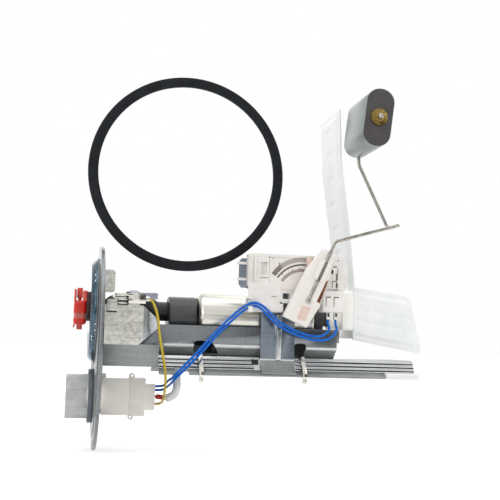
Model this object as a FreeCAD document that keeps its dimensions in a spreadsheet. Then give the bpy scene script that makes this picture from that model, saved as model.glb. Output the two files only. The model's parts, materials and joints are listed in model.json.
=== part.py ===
import FreeCAD, Part
import math
import os
import re
import Sketcher
from FreeCAD import Placement, Rotation, Vector

# Fuel pump module for a vehicle's fuel tank.
# X runs from the flange into the tank, Z is up, and Y points away from the level sender.
# The origin is the middle of the face that seals on the tank. All sizes are in millimetres.

doc = FreeCAD.newDocument("FuelPumpModule")
sheet = doc.addObject("Spreadsheet::Sheet", "Sizes")

sizes = {
    # flange and its pressed cap
    "flangeRadius": 75.0,
    "flangeThick": 2.5,
    "rimWidth": 9.0,
    "rimStep": 1.0,
    "capRadius": 38.0,
    "capRise": 5.0,
    "capWall": 1.5,
    "capBevel": 3.0,
    "capHeight": 27.0,
    "capOpening": 26.0,
    # fuel outlet
    "outletHeight": 30.0,
    "tubeHeight": 36.0,
    "tubeRadius": 3.8,
    "tubeWall": 0.8,
    "tubeFit": 0.05,
    "outletReach": 17.8,
    "tubeEnd": 27.0,
    "ribRadius": 4.4,
    "ribPitch": 2.6,
    "grommetRadius": 11.0,
    "grommetThick": 2.0,
    "dustCapLength": 9.4,
    "dustCapWidth": 20.0,
    "dustCapTop": 7.5,
    "dustCapDrop": 14.0,
    "dustCapRound": 3.0,
    "dustCapSkin": 1.5,
    "latchWidth": 8.0,
    "latchTop": 13.5,
    "latchGap": 2.0,
    # electrical connector
    "connectorDrop": 36.0,
    "shellHeight": 32.0,
    "shellWidth": 22.0,
    "shellLength": 16.0,
    "shellWall": 2.0,
    "shellRound": 3.0,
    "collarRadius": 19.7,
    "collarThick": 3.5,
    "neckRadius": 13.0,
    "sealWidth": 1.5,
    "headerHeight": 26.4,
    "headerWidth": 20.0,
    "headerStart": 3.0,
    "headerEnd": 23.0,
    "pinRadius": 0.8,
    "pinPitch": 5.6,
    "pinLength": 30.0,
    "plugGap": 0.2,
    "plugDepth": 9.0,
    "plugLength": 11.6,
    "earRadius": 1.9,
    "earWall": 0.9,
    "tailLength": 7.5,
    "tailHeight": 19.0,
    # sheet metal hanger between flange and cradle
    "hangerSpread": 28.0,
    "hangerThick": 1.5,
    "hangerTop": 31.0,
    "hangerFold": 3.0,
    "hangerBottom": 13.0,
    "hangerFoot": 9.0,
    "hangerBend": 29.0,
    "hangerReach": 44.0,
    "lugStart": 3.6,
    "lugPitch": 15.0,
    "lugWidth": 8.0,
    "lugHeight": 5.0,
    "tabMargin": 0.64,
    "tabHeight": 16.4,
    "tabReach": 8.5,
    "tabFoot": 3.0,
    "terminalHeight": 7.4,
    "terminalLength": 12.4,
    "terminalWall": 1.6,
    "barrelRadius": 2.1,
    "barrelLength": 3.6,
    # cradle and rail
    "sheetThick": 1.2,
    "cradleStart": 40.0,
    "cradleEnd": 178.0,
    "endNotch": 6.5,
    "cradleHalf": 22.0,
    "cradleTop": 18.0,
    "cradleFold": 3.0,
    "cradleFloor": 4.0,
    "floorHalf": 14.0,
    "windowStart": 68.0,
    "windowLength": 20.0,
    "rearWindowStart": 144.5,
    "rearWindowLength": 9.5,
    "windowRise": 3.8,
    "railStart": 42.0,
    "railEnd": 239.5,
    "railTopHalf": 20.8,
    "railSideHalf": 26.0,
    "railSideDrop": 14.0,
    "railLipHalf": 31.0,
    "railLipDrop": 18.2,
    "railLipEnd": 214.5,
    "foldRound": 2.0,
    "railFold": 0.8,
    "beadRadius": 1.0,
    "beadPitch": 2.7,
    "footThick": 4.4,
    "footRound": 1.5,
    # pump
    "pumpHeight": 24.0,
    "pumpRadius": 19.25,
    "pumpWall": 1.2,
    "pumpStart": 74.0,
    "pumpEnd": 164.5,
    "shoulderRound": 4.0,
    "crimpRound": 2.0,
    "portRadius": 3.8,
    "portBore": 2.4,
    "portOffset": 6.0,
    "portLength": 21.0,
    "hoseRadius": 6.2,
    "hoseStart": 18.5,
    "bootRadius": 15.5,
    "bootStart": 50.0,
    "bootEnd": 72.4,
    "collarRing": 16.9,
    "runningGap": 0.6,
    "bearingGap": 0.03,
    "shaftRadius": 2.0,
    "armatureRadius": 12.5,
    "armatureLength": 34.0,
    "armatureSlots": 8.0,
    "commutatorRadius": 8.0,
    "commutatorLength": 8.0,
    "magnetInner": 13.2,
    "magnetOuter": 17.9,
    "magnetLength": 40.0,
    "impellerRadius": 15.0,
    "impellerThick": 3.2,
    "impellerVanes": 24.0,
    "inletStep": 10.5,
    "inletPort": 6.5,
    "saddleLength": 10.0,
    "saddleTop": 12.0,
    "saddleHalf": 12.0,
    "clipHook": 2.6,
    "clipThick": 1.0,
    "clipWidth": 3.0,
    "clipCurl": 1.9,
    # level sender
    "sheetTop": 70.0,
    "strapStart": 118.0,
    "strapEnd": 144.3,
    "strapBead": 3.2,
    "strapBeadRise": 1.5,
    "tabStart": 100.0,
    "housingStart": 105.6,
    "housingEnd": 181.0,
    "housingTop": 73.0,
    "housingThick": 8.0,
    "housingEar": 1.8,
    "earTop": 65.0,
    "earFoot": 48.4,
    "stepStart": 162.8,
    "stepFoot": 30.8,
    "plateFoot": 36.5,
    "coverStart": 108.5,
    "coverEnd": 132.8,
    "coverFoot": 29.4,
    "cardStart": 121.7,
    "cardEnd": 162.4,
    "cardFoot": 46.5,
    "cardMargin": 2.4,
    "cardGap": 0.2,
    "cardDepth": 0.8,
    "trackThick": 0.2,
    "trackOuter": 27.5,
    "trackMiddle": 23.6,
    "trackInner": 19.4,
    "pivotAlong": 147.5,
    "pivotHeight": 42.2,
    "pivotRadius": 3.5,
    "pivotGap": 0.05,
    "wiperGap": 1.8,
    "wiperThick": 4.5,
    "wiperReach": 35.8,
    "wireRadius": 1.3,
    "hookAlong": 150.3,
    "hookHeight": 38.6,
    "hookDepth": 3.2,
    "hookRound": 2.2,
    "wireRound": 5.0,
    "bendAlong": 170.3,
    "bendHeight": 83.8,
    "crankAlong": 221.5,
    "crankHeight": 99.3,
    "riseAlong": 196.6,
    "riseHeight": 149.0,
    "riseRound": 8.0,
    "tipRound": 3.6,
    "tipReach": 4.6,
    "floatAlong": 194.5,
    "floatHeight": 175.5,
    "floatFront": 63.0,
    "floatBack": 16.0,
    "floatWidth": 19.5,
    "floatTall": 41.0,
    "floatTilt": 6.6,
    "nutRadius": 6.3,
    # strainer
    "sockThick": 4.0,
    "sockWidth": 52.0,
    "sockNear": 7.0,
    "sockAlong": 194.2,
    "sockFoot": 12.0,
    "sockTop": 195.0,
    "sockLean": 14.3,
    "panelLap": 1.8,
    "panelLength": 58.1,
    "panelTop": 52.2,
    "panelRound": 4.0,
    "strainerNeckStart": 176.0,
    "neckTube": 11.0,
    "neckBoxStart": 9.5,
    "neckBoxLength": 8.5,
    "neckBoxFar": 12.0,
    "neckBoxNear": 15.0,
    "neckBoxFoot": 18.0,
    "neckBoxTop": 49.0,
    "neckRound": 3.0,
    # tank seal
    "sealRadius": 76.0,
    "sealBand": 7.8,
    "sealThick": 3.0,
    "sealRound": 0.9,
    "sealAlong": 61.5,
    "sealHeight": 135.5,
    # wires
    "leadRadius": 0.95,
}

for row, (alias, amount) in enumerate(sizes.items(), start=1):
    sheet.set(f"A{row}", alias)
    sheet.set(f"B{row}", str(amount))
    sheet.setAlias(f"B{row}", alias)
doc.recompute()

nodes = {}


def ref(text):
    """The same expression with every size read from the sheet."""

    def named(word):
        return "Sizes." + word.group(0) if word.group(0) in sizes else word.group(0)

    return re.sub(r"[A-Za-z]\w*", named, text)


def newBody(label):
    body = doc.addObject("PartDesign::Body", label)
    body.Label = label
    nodes[label] = body
    return body


def newSketch(body, plane, offset="0"):
    """A sketch on one of the body's own planes, moved along that plane's normal."""
    sketch = body.newObject("Sketcher::SketchObject", body.Label + "_sketch")
    origin = [feature for feature in body.Origin.OriginFeatures if feature.Role == plane][0]
    sketch.AttachmentSupport = (origin, "")
    sketch.MapMode = "FlatFace"
    sketch.setExpression("AttachmentOffset.Base.z", ref(offset))
    return sketch


def outline(sketch, corners):
    """A closed outline of straight edges whose corners are pairs of expressions."""
    first = sketch.GeometryCount
    count = len(corners)
    turns = [2 * math.pi * i / count for i in range(count)]
    rough = [Vector(math.cos(turn), math.sin(turn), 0) * 10 for turn in turns]
    for i in range(count):
        sketch.addGeometry(Part.LineSegment(rough[i], rough[(i + 1) % count]))
    for i in range(count):
        sketch.addConstraint(Sketcher.Constraint("Coincident", first + i, 2, first + (i + 1) % count, 1))
    for i, corner in enumerate(corners):
        for kind, text in zip(("DistanceX", "DistanceY"), corner):
            index = sketch.addConstraint(Sketcher.Constraint(kind, -1, 1, first + i, 1, 1.0))
            sketch.setExpression(f"Constraints[{index}]", ref(text))


def rectangle(sketch, left, right, low, high):
    outline(sketch, [(left, low), (right, low), (right, high), (left, high)])


def oblong(sketch, width, height, middle="0"):
    """A rectangle about the sketch's vertical axis, at a middle height."""
    rectangle(sketch, f"-({width}) / 2", f"({width}) / 2", f"{middle} - ({height}) / 2", f"{middle} + ({height}) / 2")


def ring(sketch, across, up, radius):
    """A circle whose centre and radius are expressions."""
    index = sketch.addGeometry(Part.Circle(Vector(1, 1, 0), Vector(0, 0, 1), 1.0))
    for kind, text in (("DistanceX", across), ("DistanceY", up)):
        constraint = sketch.addConstraint(Sketcher.Constraint(kind, -1, 1, index, 3, 1.0))
        sketch.setExpression(f"Constraints[{constraint}]", ref(text))
    constraint = sketch.addConstraint(Sketcher.Constraint("Radius", index, 1.0))
    sketch.setExpression(f"Constraints[{constraint}]", ref(radius))


def pad(body, sketch, length):
    """Adds material from the sketch along its normal."""
    feature = body.newObject("PartDesign::Pad", body.Label + "_pad")
    feature.Profile = sketch
    feature.setExpression("Length", ref(length))
    doc.recompute()
    return feature


def pocket(body, sketch, length):
    """Cuts from the sketch against its normal, and makes sure that something was cut."""
    before = body.Shape.Volume
    feature = body.newObject("PartDesign::Pocket", body.Label + "_pocket")
    feature.Profile = sketch
    feature.setExpression("Length", ref(length))
    doc.recompute()
    if not body.Shape.Volume < before - 1e-6:
        raise RuntimeError(body.Label + ": a pocket cuts nothing")
    return feature


def revolve(body, sketch):
    """Turns the sketch right round the body's X axis."""
    feature = body.newObject("PartDesign::Revolution", body.Label + "_turn")
    feature.Profile = sketch
    feature.ReferenceAxis = (sketch, ["H_Axis"])
    feature.Angle = 360
    doc.recompute()
    return feature


def roundRims(body, radius, keep=lambda edge: True):
    """Fillets the body's round edges."""
    names = []
    for number, edge in enumerate(body.Tip.Shape.Edges, start=1):
        if edge.Curve.TypeId == "Part::GeomCircle" and keep(edge):
            names.append(f"Edge{number}")
    base = body.Tip
    feature = body.newObject("PartDesign::Fillet", body.Label + "_rims")
    feature.Base = (base, names)
    feature.setExpression("Radius", ref(radius))
    doc.recompute()
    return feature


def quarter(along, up, radius, start, steps=5):
    """Corners along a quarter circle, from the start angle on, about a centre of two expressions."""
    corners = []
    for step in range(steps + 1):
        angle = math.radians(start - 90 * step / steps)
        right = f"{along} + ({radius}) * {math.cos(angle):.5f}"
        corners.append((right, f"{up} + ({radius}) * {math.sin(angle):.5f}"))
    return corners


def roundEdges(body, radius, along, keep=lambda middle: True):
    """Fillets the body's straight edges that run along one direction."""
    names = []
    for number, edge in enumerate(body.Tip.Shape.Edges, start=1):
        if len(edge.Vertexes) == 2 and edge.Curve.TypeId == "Part::GeomLine":
            direction = edge.Vertexes[1].Point - edge.Vertexes[0].Point
            if direction.getAngle(along) < 0.01 or direction.getAngle(along) > math.pi - 0.01:
                if keep(edge.BoundBox.Center):
                    names.append(f"Edge{number}")
    base = body.Tip
    feature = body.newObject("PartDesign::Fillet", body.Label + "_fillet")
    feature.Base = (base, names)
    feature.setExpression("Radius", ref(radius))
    doc.recompute()
    return feature


def place(thing, x="0", y="0", z="0"):
    thing.setExpression("Placement.Base.x", ref(x))
    thing.setExpression("Placement.Base.y", ref(y))
    thing.setExpression("Placement.Base.z", ref(z))


def slab(body, left, right, near, far, low, high):
    """A rectangular block of a body between six planes; near and far are distances toward the sender's side."""
    sketch = newSketch(body, "XZ_Plane", far)
    rectangle(sketch, left, right, low, high)
    return pad(body, sketch, f"({near}) - ({far})")


def roundedPath(points, radii):
    """Straight runs between points, joined by arcs that touch both runs."""
    corners = [Vector(*point) for point in points]
    edges = []
    start = corners[0]
    for i in range(1, len(corners) - 1):
        before = (corners[i - 1] - corners[i]).normalize()
        after = (corners[i + 1] - corners[i]).normalize()
        half = (math.pi - before.getAngle(after)) / 2
        reach = radii[i - 1] * math.tan(half)
        first = corners[i] + before * reach
        last = corners[i] + after * reach
        inward = (before + after).normalize()
        centre = corners[i] + inward * (radii[i - 1] / math.cos(half))
        middle = centre - inward * radii[i - 1]
        if (first - start).Length > 1e-6:
            edges.append(Part.LineSegment(start, first).toShape())
        edges.append(Part.Arc(first, middle, last).toShape())
        start = last
    edges.append(Part.LineSegment(start, corners[-1]).toShape())
    return Part.Wire(edges)


def gentleRadii(points):
    """The largest even radius at each corner: 0.45 of the shorter run over the tangent of half the turn."""
    corners = [Vector(*point) for point in points]
    radii = []
    for i in range(1, len(corners) - 1):
        before = corners[i] - corners[i - 1]
        after = corners[i + 1] - corners[i]
        turn = before.getAngle(after)
        radii.append(0.45 * min(before.Length, after.Length) / math.tan(turn / 2))
    return radii


def rod(path, radius):
    """A round bar swept along a path."""
    start = path.Edges[0]
    where = start.valueAt(start.FirstParameter)
    heading = start.tangentAt(start.FirstParameter)
    section = Part.Wire([Part.makeCircle(radius, where, heading)])
    return path.makePipeShell([section], True, False)


def keep(label, shape):
    """Stores a shape as a sub-part of its own."""
    feature = doc.addObject("Part::Feature", label)
    feature.Label = label
    feature.Shape = shape
    feature.Placement = Placement(Vector(0, 0, 0), Rotation())
    nodes[label] = feature
    return feature


# Flange plate: a disc whose middle is pressed outward from the sealing rim, with two openings.
flange = newBody("flange_plate")
sketch = newSketch(flange, "XY_Plane")
outline(sketch, [
    ("0", "flangeRadius - rimWidth"),
    ("0", "flangeRadius"),
    ("-flangeThick", "flangeRadius"),
    ("-flangeThick", "flangeRadius - rimWidth"),
    ("-flangeThick - rimStep", "flangeRadius - rimWidth - rimStep"),
    ("-flangeThick - rimStep", "0"),
    ("-rimStep", "0"),
    ("-rimStep", "flangeRadius - rimWidth - rimStep"),
])
revolve(flange, sketch)
sketch = newSketch(flange, "YZ_Plane")
ring(sketch, "0", "capHeight", "capOpening")
ring(sketch, "0", "-connectorDrop", "neckRadius + sealWidth")
pocket(flange, sketch, "flangeThick + 2 * rimStep")

# Cap over the middle opening: a shallow pressed bell with a bevelled edge.
cap = newBody("flange_cap")
sketch = newSketch(cap, "XY_Plane")
outline(sketch, [
    ("0", "capRadius"),
    ("-capRise + capBevel", "capRadius"),
    ("-capRise", "capRadius - capBevel"),
    ("-capRise", "0"),
    ("-capRise + capWall", "0"),
    ("-capRise + capWall", "capRadius - capBevel - capWall / 2"),
    ("-capRise + capBevel + capWall / 2", "capRadius - capWall"),
    ("0", "capRadius - capWall"),
])
revolve(cap, sketch)
sketch = newSketch(cap, "YZ_Plane")
ring(sketch, "0", "outletHeight - capHeight", "tubeRadius + tubeFit")
pocket(cap, sketch, "capRise + 1")
place(cap, "-flangeThick - rimStep", "0", "capHeight")

# Outlet tube: straight through the cap, stepped up behind it and ribbed where the hose grips it.
outletRoute = [
    (-sizes["outletReach"], 0, sizes["outletHeight"]),
    (2.0, 0, sizes["outletHeight"]),
    (2.0 + 1.2 * (sizes["tubeHeight"] - sizes["outletHeight"]), 0, sizes["tubeHeight"]),
    (sizes["tubeEnd"], 0, sizes["tubeHeight"]),
]
outletPath = roundedPath(outletRoute, [6.0, 6.0])
outletTube = rod(outletPath, sizes["tubeRadius"])
for number in range(3):
    ribStart = sizes["hoseStart"] - 9.0 + number * sizes["ribPitch"]
    ribFoot = Vector(ribStart, 0, sizes["tubeHeight"])
    rib = Part.makeCylinder(sizes["ribRadius"], sizes["ribPitch"] / 2, ribFoot, Vector(1, 0, 0))
    outletTube = outletTube.fuse(rib)
outletTube = outletTube.cut(rod(outletPath, sizes["tubeRadius"] - sizes["tubeWall"])).removeSplitter()
keep("outlet_pipe", outletTube)

# Rubber grommet round the outlet tube, against the cap's outer face.
grommet = newBody("outlet_grommet")
sketch = newSketch(grommet, "YZ_Plane", "-flangeThick - rimStep - capRise - grommetThick")
ring(sketch, "0", "outletHeight", "grommetRadius")
ring(sketch, "0", "outletHeight", "tubeRadius + tubeFit")
pad(grommet, sketch, "grommetThick")

# Slip-on dust cap over the outlet tube, with a latch above and a thumb nub below.
dustCap = newBody("outlet_cap")
dustCapFace = "-flangeThick - rimStep - capRise - grommetThick - 0.1"
sketch = newSketch(dustCap, "YZ_Plane", f"{dustCapFace} - dustCapLength")
rectangle(sketch, "-dustCapWidth / 2", "dustCapWidth / 2", "outletHeight - dustCapDrop", "outletHeight + dustCapTop")
pad(dustCap, sketch, "dustCapLength")
roundEdges(dustCap, "dustCapRound", Vector(1, 0, 0))
dustCapRoof = "outletHeight + dustCapTop"
sketch = newSketch(dustCap, "YZ_Plane", f"{dustCapFace} - dustCapLength + 4.2")
rectangle(sketch, "-latchWidth / 2 + 1", "latchWidth / 2 - 1", f"{dustCapRoof} - 0.5", f"{dustCapRoof} + latchGap + 0.5")
pad(dustCap, sketch, "2.6")
sketch = newSketch(dustCap, "YZ_Plane", f"{dustCapFace} - dustCapLength + 2.2")
rectangle(sketch, "-latchWidth / 2", "latchWidth / 2", f"{dustCapRoof} + latchGap", "outletHeight + latchTop")
pad(dustCap, sketch, "5.4")
sketch = newSketch(dustCap, "YZ_Plane", f"{dustCapFace} - dustCapLength + 2.2")
rectangle(sketch, "-2.5", "2.5", "outletHeight - dustCapDrop - 3.6", "outletHeight - dustCapDrop + 0.5")
pad(dustCap, sketch, "3.8")
sketch = newSketch(dustCap, "YZ_Plane", dustCapFace)
ring(sketch, "0", "outletHeight", "tubeRadius + 0.2")
pocket(dustCap, sketch, "dustCapLength - dustCapSkin")

# Connector housing: an oblong socket outside, a round collar on the flange and a header inside.
housing = newBody("connector_housing")
collarBack = "-flangeThick - rimStep"
sketch = newSketch(housing, "YZ_Plane", f"{collarBack} - collarThick - shellLength")
oblong(sketch, "shellWidth", "shellHeight", "-connectorDrop")
pad(housing, sketch, "shellLength")
roundEdges(housing, "shellRound", Vector(1, 0, 0))
sketch = newSketch(housing, "YZ_Plane", f"{collarBack} - collarThick - 0.5")
ring(sketch, "0", "-connectorDrop", "neckRadius")
pad(housing, sketch, f"headerStart - ({collarBack}) + collarThick + 0.5")
for side in ("-", ""):
    sketch = newSketch(housing, "YZ_Plane", f"{collarBack} - collarThick - shellLength + 1.5")
    for low, high in (("5.4", "6.4"), ("-7.4", "-2.8")):
        outline(sketch, [
            (f"{side}(shellWidth / 2 - 0.3)", f"-connectorDrop + {low} - 0.4"),
            (f"{side}(shellWidth / 2 + 0.7)", f"-connectorDrop + {low}"),
            (f"{side}(shellWidth / 2 + 0.7)", f"-connectorDrop + {high}"),
            (f"{side}(shellWidth / 2 - 0.3)", f"-connectorDrop + {high} + 0.4"),
        ])
    pad(housing, sketch, "shellLength - 2.5")
sketch = newSketch(housing, "YZ_Plane", "headerStart")
oblong(sketch, "headerWidth", "headerHeight", "-connectorDrop")
pad(housing, sketch, "headerEnd - headerStart")
sketch = newSketch(housing, "YZ_Plane", f"{collarBack} - collarThick - 1")
oblong(sketch, "shellWidth - 2 * shellWall", "shellHeight - 2 * shellWall", "-connectorDrop")
pocket(housing, sketch, "shellLength")
sketch = newSketch(housing, "YZ_Plane", "headerEnd")
oblong(sketch, "headerWidth - 2 * shellWall", "headerHeight - 2 * shellWall", "-connectorDrop")
pocket(housing, sketch, "headerEnd - headerStart - 5")
sketch = newSketch(housing, "YZ_Plane", "headerStart")
oblong(sketch, "latchWidth", "3.9", "-connectorDrop + headerHeight / 2 + 1.45")
pad(housing, sketch, "3")
sketch = newSketch(housing, "YZ_Plane", "headerEnd")
pinRows = ["-1.5 * pinPitch", "-0.5 * pinPitch", "0.5 * pinPitch", "1.5 * pinPitch"]
for row in pinRows:
    ring(sketch, "0", f"-connectorDrop + ({row}) * 0.9", "pinRadius + 0.02")
pocket(housing, sketch, "headerEnd + 10")

# Gasket round the connector's neck, between its shell and the flange.
gasket = newBody("connector_gasket")
sketch = newSketch(gasket, "YZ_Plane", f"{collarBack} - collarThick")
ring(sketch, "0", "-connectorDrop", "collarRadius")
ring(sketch, "0", "-connectorDrop", "neckRadius + 0.05")
pad(gasket, sketch, "collarThick")
roundRims(gasket, "0.5", lambda edge: edge.Curve.Radius > sizes["collarRadius"] - 1)

# Connector pins: four straight blades through the housing.
pins = newBody("connector_pins")
sketch = newSketch(pins, "YZ_Plane", f"{collarBack} - collarThick - 9")
for row in pinRows:
    ring(sketch, "0", f"-connectorDrop + ({row}) * 0.9", "pinRadius")
pad(pins, sketch, "pinLength")

# Seal ring between the connector's neck and the flange's opening.
seal = newBody("connector_seal")
sketch = newSketch(seal, "YZ_Plane", collarBack)
ring(sketch, "0", "-connectorDrop", "neckRadius + sealWidth - 0.02")
ring(sketch, "0", "-connectorDrop", "neckRadius + 0.02")
pad(seal, sketch, "flangeThick")

# Harness plug inside the tank: a body in the header, a grip behind it, two latch loops and a tail for the wires.
plug = newBody("connector_plug")
sketch = newSketch(plug, "YZ_Plane", "headerEnd - plugDepth")
plugInset = "2 * (shellWall + plugGap)"
oblong(sketch, f"headerWidth - {plugInset}", f"headerHeight - {plugInset}", "-connectorDrop")
pad(plug, sketch, "plugDepth + 1")
sketch = newSketch(plug, "YZ_Plane", "headerEnd + plugGap")
oblong(sketch, "headerWidth", "headerHeight + 1", "-connectorDrop")
pad(plug, sketch, "plugLength")
loopRise = "(headerHeight / 2 + 0.5 + earRadius * 0.8)"
loopLevels = (f"-connectorDrop + {loopRise}", f"-connectorDrop - {loopRise}")
sketch = newSketch(plug, "XZ_Plane", "-latchWidth / 2")
for level in loopLevels:
    ring(sketch, "headerEnd + plugGap + earRadius", level, "earRadius")
pad(plug, sketch, "latchWidth")
sketch = newSketch(plug, "XZ_Plane", "latchWidth / 2")
for level in loopLevels:
    ring(sketch, "headerEnd + plugGap + earRadius", level, "earRadius - earWall")
pocket(plug, sketch, "latchWidth")
sketch = newSketch(plug, "YZ_Plane", "headerEnd + plugGap + plugLength - 0.5")
oblong(sketch, "headerWidth - 6", "tailHeight", "-connectorDrop")
pad(plug, sketch, "tailLength + 0.5")
sketch = newSketch(plug, "YZ_Plane", "headerEnd + 5")
for row in pinRows:
    ring(sketch, "0", f"-connectorDrop + ({row}) * 0.9", "pinRadius + 0.1")
pocket(plug, sketch, "plugDepth + 6")

# Hanger: a bent sheet on the near side of the flange that carries the cradle, mirrored on the far side.
hanger = newBody("hanger_near")
sketch = newSketch(hanger, "XY_Plane", "hangerFold - 0.5")
outline(sketch, [
    ("-rimStep", "-hangerSpread - hangerThick - hangerFoot"),
    ("-rimStep + hangerThick", "-hangerSpread - hangerThick - hangerFoot"),
    ("-rimStep + hangerThick", "-hangerSpread - hangerThick"),
    ("hangerBend + 0.6", "-hangerSpread - hangerThick"),
    ("cradleStart + 0.6", "-cradleHalf - hangerThick"),
    ("hangerReach", "-cradleHalf - hangerThick"),
    ("hangerReach", "-cradleHalf"),
    ("cradleStart", "-cradleHalf"),
    ("hangerBend", "-hangerSpread"),
    ("-rimStep", "-hangerSpread"),
])
pad(hanger, sketch, "hangerTop - hangerFold + 0.5")
sketch = newSketch(hanger, "XZ_Plane", "hangerSpread + hangerFoot + 4")
outline(sketch, [
    ("hangerBend", "hangerTop + 1"),
    ("hangerBend", "hangerTop"),
    ("cradleStart - 0.5", "cradleTop + 4.5"),
    ("cradleStart + 1.2", "cradleTop - 3"),
    ("hangerBend - 2", "hangerFold"),
    ("hangerBend - 2", "hangerFold - 1"),
    ("hangerReach + 2", "hangerFold - 1"),
    ("hangerReach + 2", "hangerTop + 1"),
])
pocket(hanger, sketch, "hangerFoot + 20")
sketch = newSketch(hanger, "YZ_Plane", "-rimStep")
outline(sketch, [
    ("-hangerSpread", "hangerFold"),
    ("-hangerSpread - hangerThick", "hangerFold"),
    ("-railSideHalf", "-hangerBottom"),
    ("-railSideHalf + hangerThick", "-hangerBottom"),
])
pad(hanger, sketch, "railStart - 0.3 + rimStep")
hangerFace = "hangerSpread + hangerThick"
for lug in ("lugStart", "lugStart + lugPitch"):
    slab(hanger, lug, f"{lug} + lugWidth", hangerFace, "hangerSpread", "hangerTop - 1", "hangerTop + lugHeight")
sketch = newSketch(hanger, "XZ_Plane", f"{hangerFace} + 1")
for slit in ("lugStart + lugWidth / 4", "lugStart + lugWidth * 0.6"):
    rectangle(sketch, slit, f"{slit} + 1", "hangerTop - 3.6", "hangerTop + 3")
pocket(hanger, sketch, "hangerThick + 2")

farHanger = doc.addObject("Part::Mirroring", "hanger_far")
farHanger.Label = "hanger_far"
farHanger.Source = hanger
farHanger.Normal = Vector(0, 1, 0)
nodes["hanger_far"] = farHanger

# Upper tab: a small angle on the flange above the hanger, which stays inside the flange's pressed middle.
tab = newBody("hanger_tab")
tabTop = "sqrt((flangeRadius - rimWidth - rimStep - tabMargin)^2 - (hangerSpread + tabFoot)^2)"
sketch = newSketch(tab, "XY_Plane", f"{tabTop} - tabHeight")
outline(sketch, [
    ("-rimStep", "-hangerSpread - tabFoot"),
    ("-rimStep + hangerThick", "-hangerSpread - tabFoot"),
    ("-rimStep + hangerThick", "-hangerSpread + 4"),
    ("tabReach", "-hangerSpread + 4"),
    ("tabReach", "-hangerSpread + 4 + hangerThick"),
    ("-rimStep", "-hangerSpread + 4 + hangerThick"),
])
pad(tab, sketch, "tabHeight")
roundEdges(tab, "2.5", Vector(0, 1, 0), lambda middle: middle.x > sizes["tabReach"] - 0.1)

# Ground terminal: a push-on receptacle on the hanger's second lug with a crimp barrel for the yellow wire.
terminal = newBody("ground_terminal")
secondLug = "lugStart + lugPitch"
sketch = newSketch(terminal, "XZ_Plane", "hangerSpread - terminalWall")
rectangle(sketch, f"{secondLug} - 0.4", f"{secondLug} - 0.4 + terminalLength", "hangerTop + 1.2", "hangerTop + 1.2 + terminalHeight")
pad(terminal, sketch, "hangerThick + 2 * terminalWall")
sketch = newSketch(terminal, "XZ_Plane", f"{hangerFace} + 0.1")
rectangle(sketch, f"{secondLug} - 0.1", f"{secondLug} + 0.1 + lugWidth", "hangerTop + 0.2", "hangerTop + lugHeight + 0.1")
pocket(terminal, sketch, "hangerThick + 0.2")
barrelStart = f"{secondLug} - 1 + terminalLength"
sketch = newSketch(terminal, "YZ_Plane", barrelStart)
ring(sketch, "-hangerSpread - hangerThick / 2", "hangerTop + lugHeight - 0.4", "barrelRadius")
pad(terminal, sketch, "barrelLength")
sketch = newSketch(terminal, "YZ_Plane", f"{barrelStart} + barrelLength")
ring(sketch, "-hangerSpread - hangerThick / 2", "hangerTop + lugHeight - 0.4", "leadRadius + 0.02")
pocket(terminal, sketch, "barrelLength - 0.2")

# Fuel hose from the outlet tube down to the pump's port.
portHeight = sizes["pumpHeight"] + sizes["portOffset"]
hoseRoute = [
    (sizes["hoseStart"], 0, sizes["tubeHeight"]),
    (sizes["tubeEnd"] + 1.0, 0, sizes["tubeHeight"]),
    (sizes["bootStart"] - 9.0, 0, portHeight),
    (sizes["pumpStart"] - sizes["portLength"] + 10.0, 0, portHeight),
]
hosePath = roundedPath(hoseRoute, [12.0, 12.0])
hose = rod(hosePath, sizes["hoseRadius"]).cut(rod(hosePath, sizes["tubeRadius"] + sizes["tubeFit"]))
keep("fuel_hose", hose)

# Hose clamp: a band round the hose with its screw block on top.
clampStart = sizes["tubeEnd"] - 6.0
clampFoot = Vector(clampStart, 0, sizes["tubeHeight"])
band = Part.makeCylinder(sizes["hoseRadius"] + 1.0, 6.0, clampFoot, Vector(1, 0, 0))
screwBlock = Part.makeBox(12.0, 7.0, 4.6, Vector(clampStart + 8.5, -8.0, sizes["tubeHeight"] + 0.8))
bridge = Part.makeBox(10.0, 3.0, 3.0, Vector(clampStart, -7.0, sizes["tubeHeight"] + 1.6))
clamp = band.fuse([screwBlock, bridge]).cut(rod(hosePath, sizes["hoseRadius"] + 0.05)).removeSplitter()
keep("hose_clamp", clamp)

# Pump case: a steel tube rolled in at both ends.
case = newBody("pump_case")
sketch = newSketch(case, "XY_Plane")
outline(sketch, [
    *quarter("pumpStart + shoulderRound", "pumpRadius - shoulderRound", "shoulderRound", 180, 6),
    *quarter("pumpEnd - crimpRound", "pumpRadius - crimpRound", "crimpRound", 90, 4),
    ("pumpEnd", "pumpRadius - shoulderRound"),
    ("pumpEnd - pumpWall", "pumpRadius - shoulderRound"),
    ("pumpEnd - pumpWall", "pumpRadius - pumpWall"),
    ("pumpStart + pumpWall + 1", "pumpRadius - pumpWall"),
    ("pumpStart + pumpWall", "pumpRadius - shoulderRound"),
])
revolve(case, sketch)
place(case, "0", "0", "pumpHeight")

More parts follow.
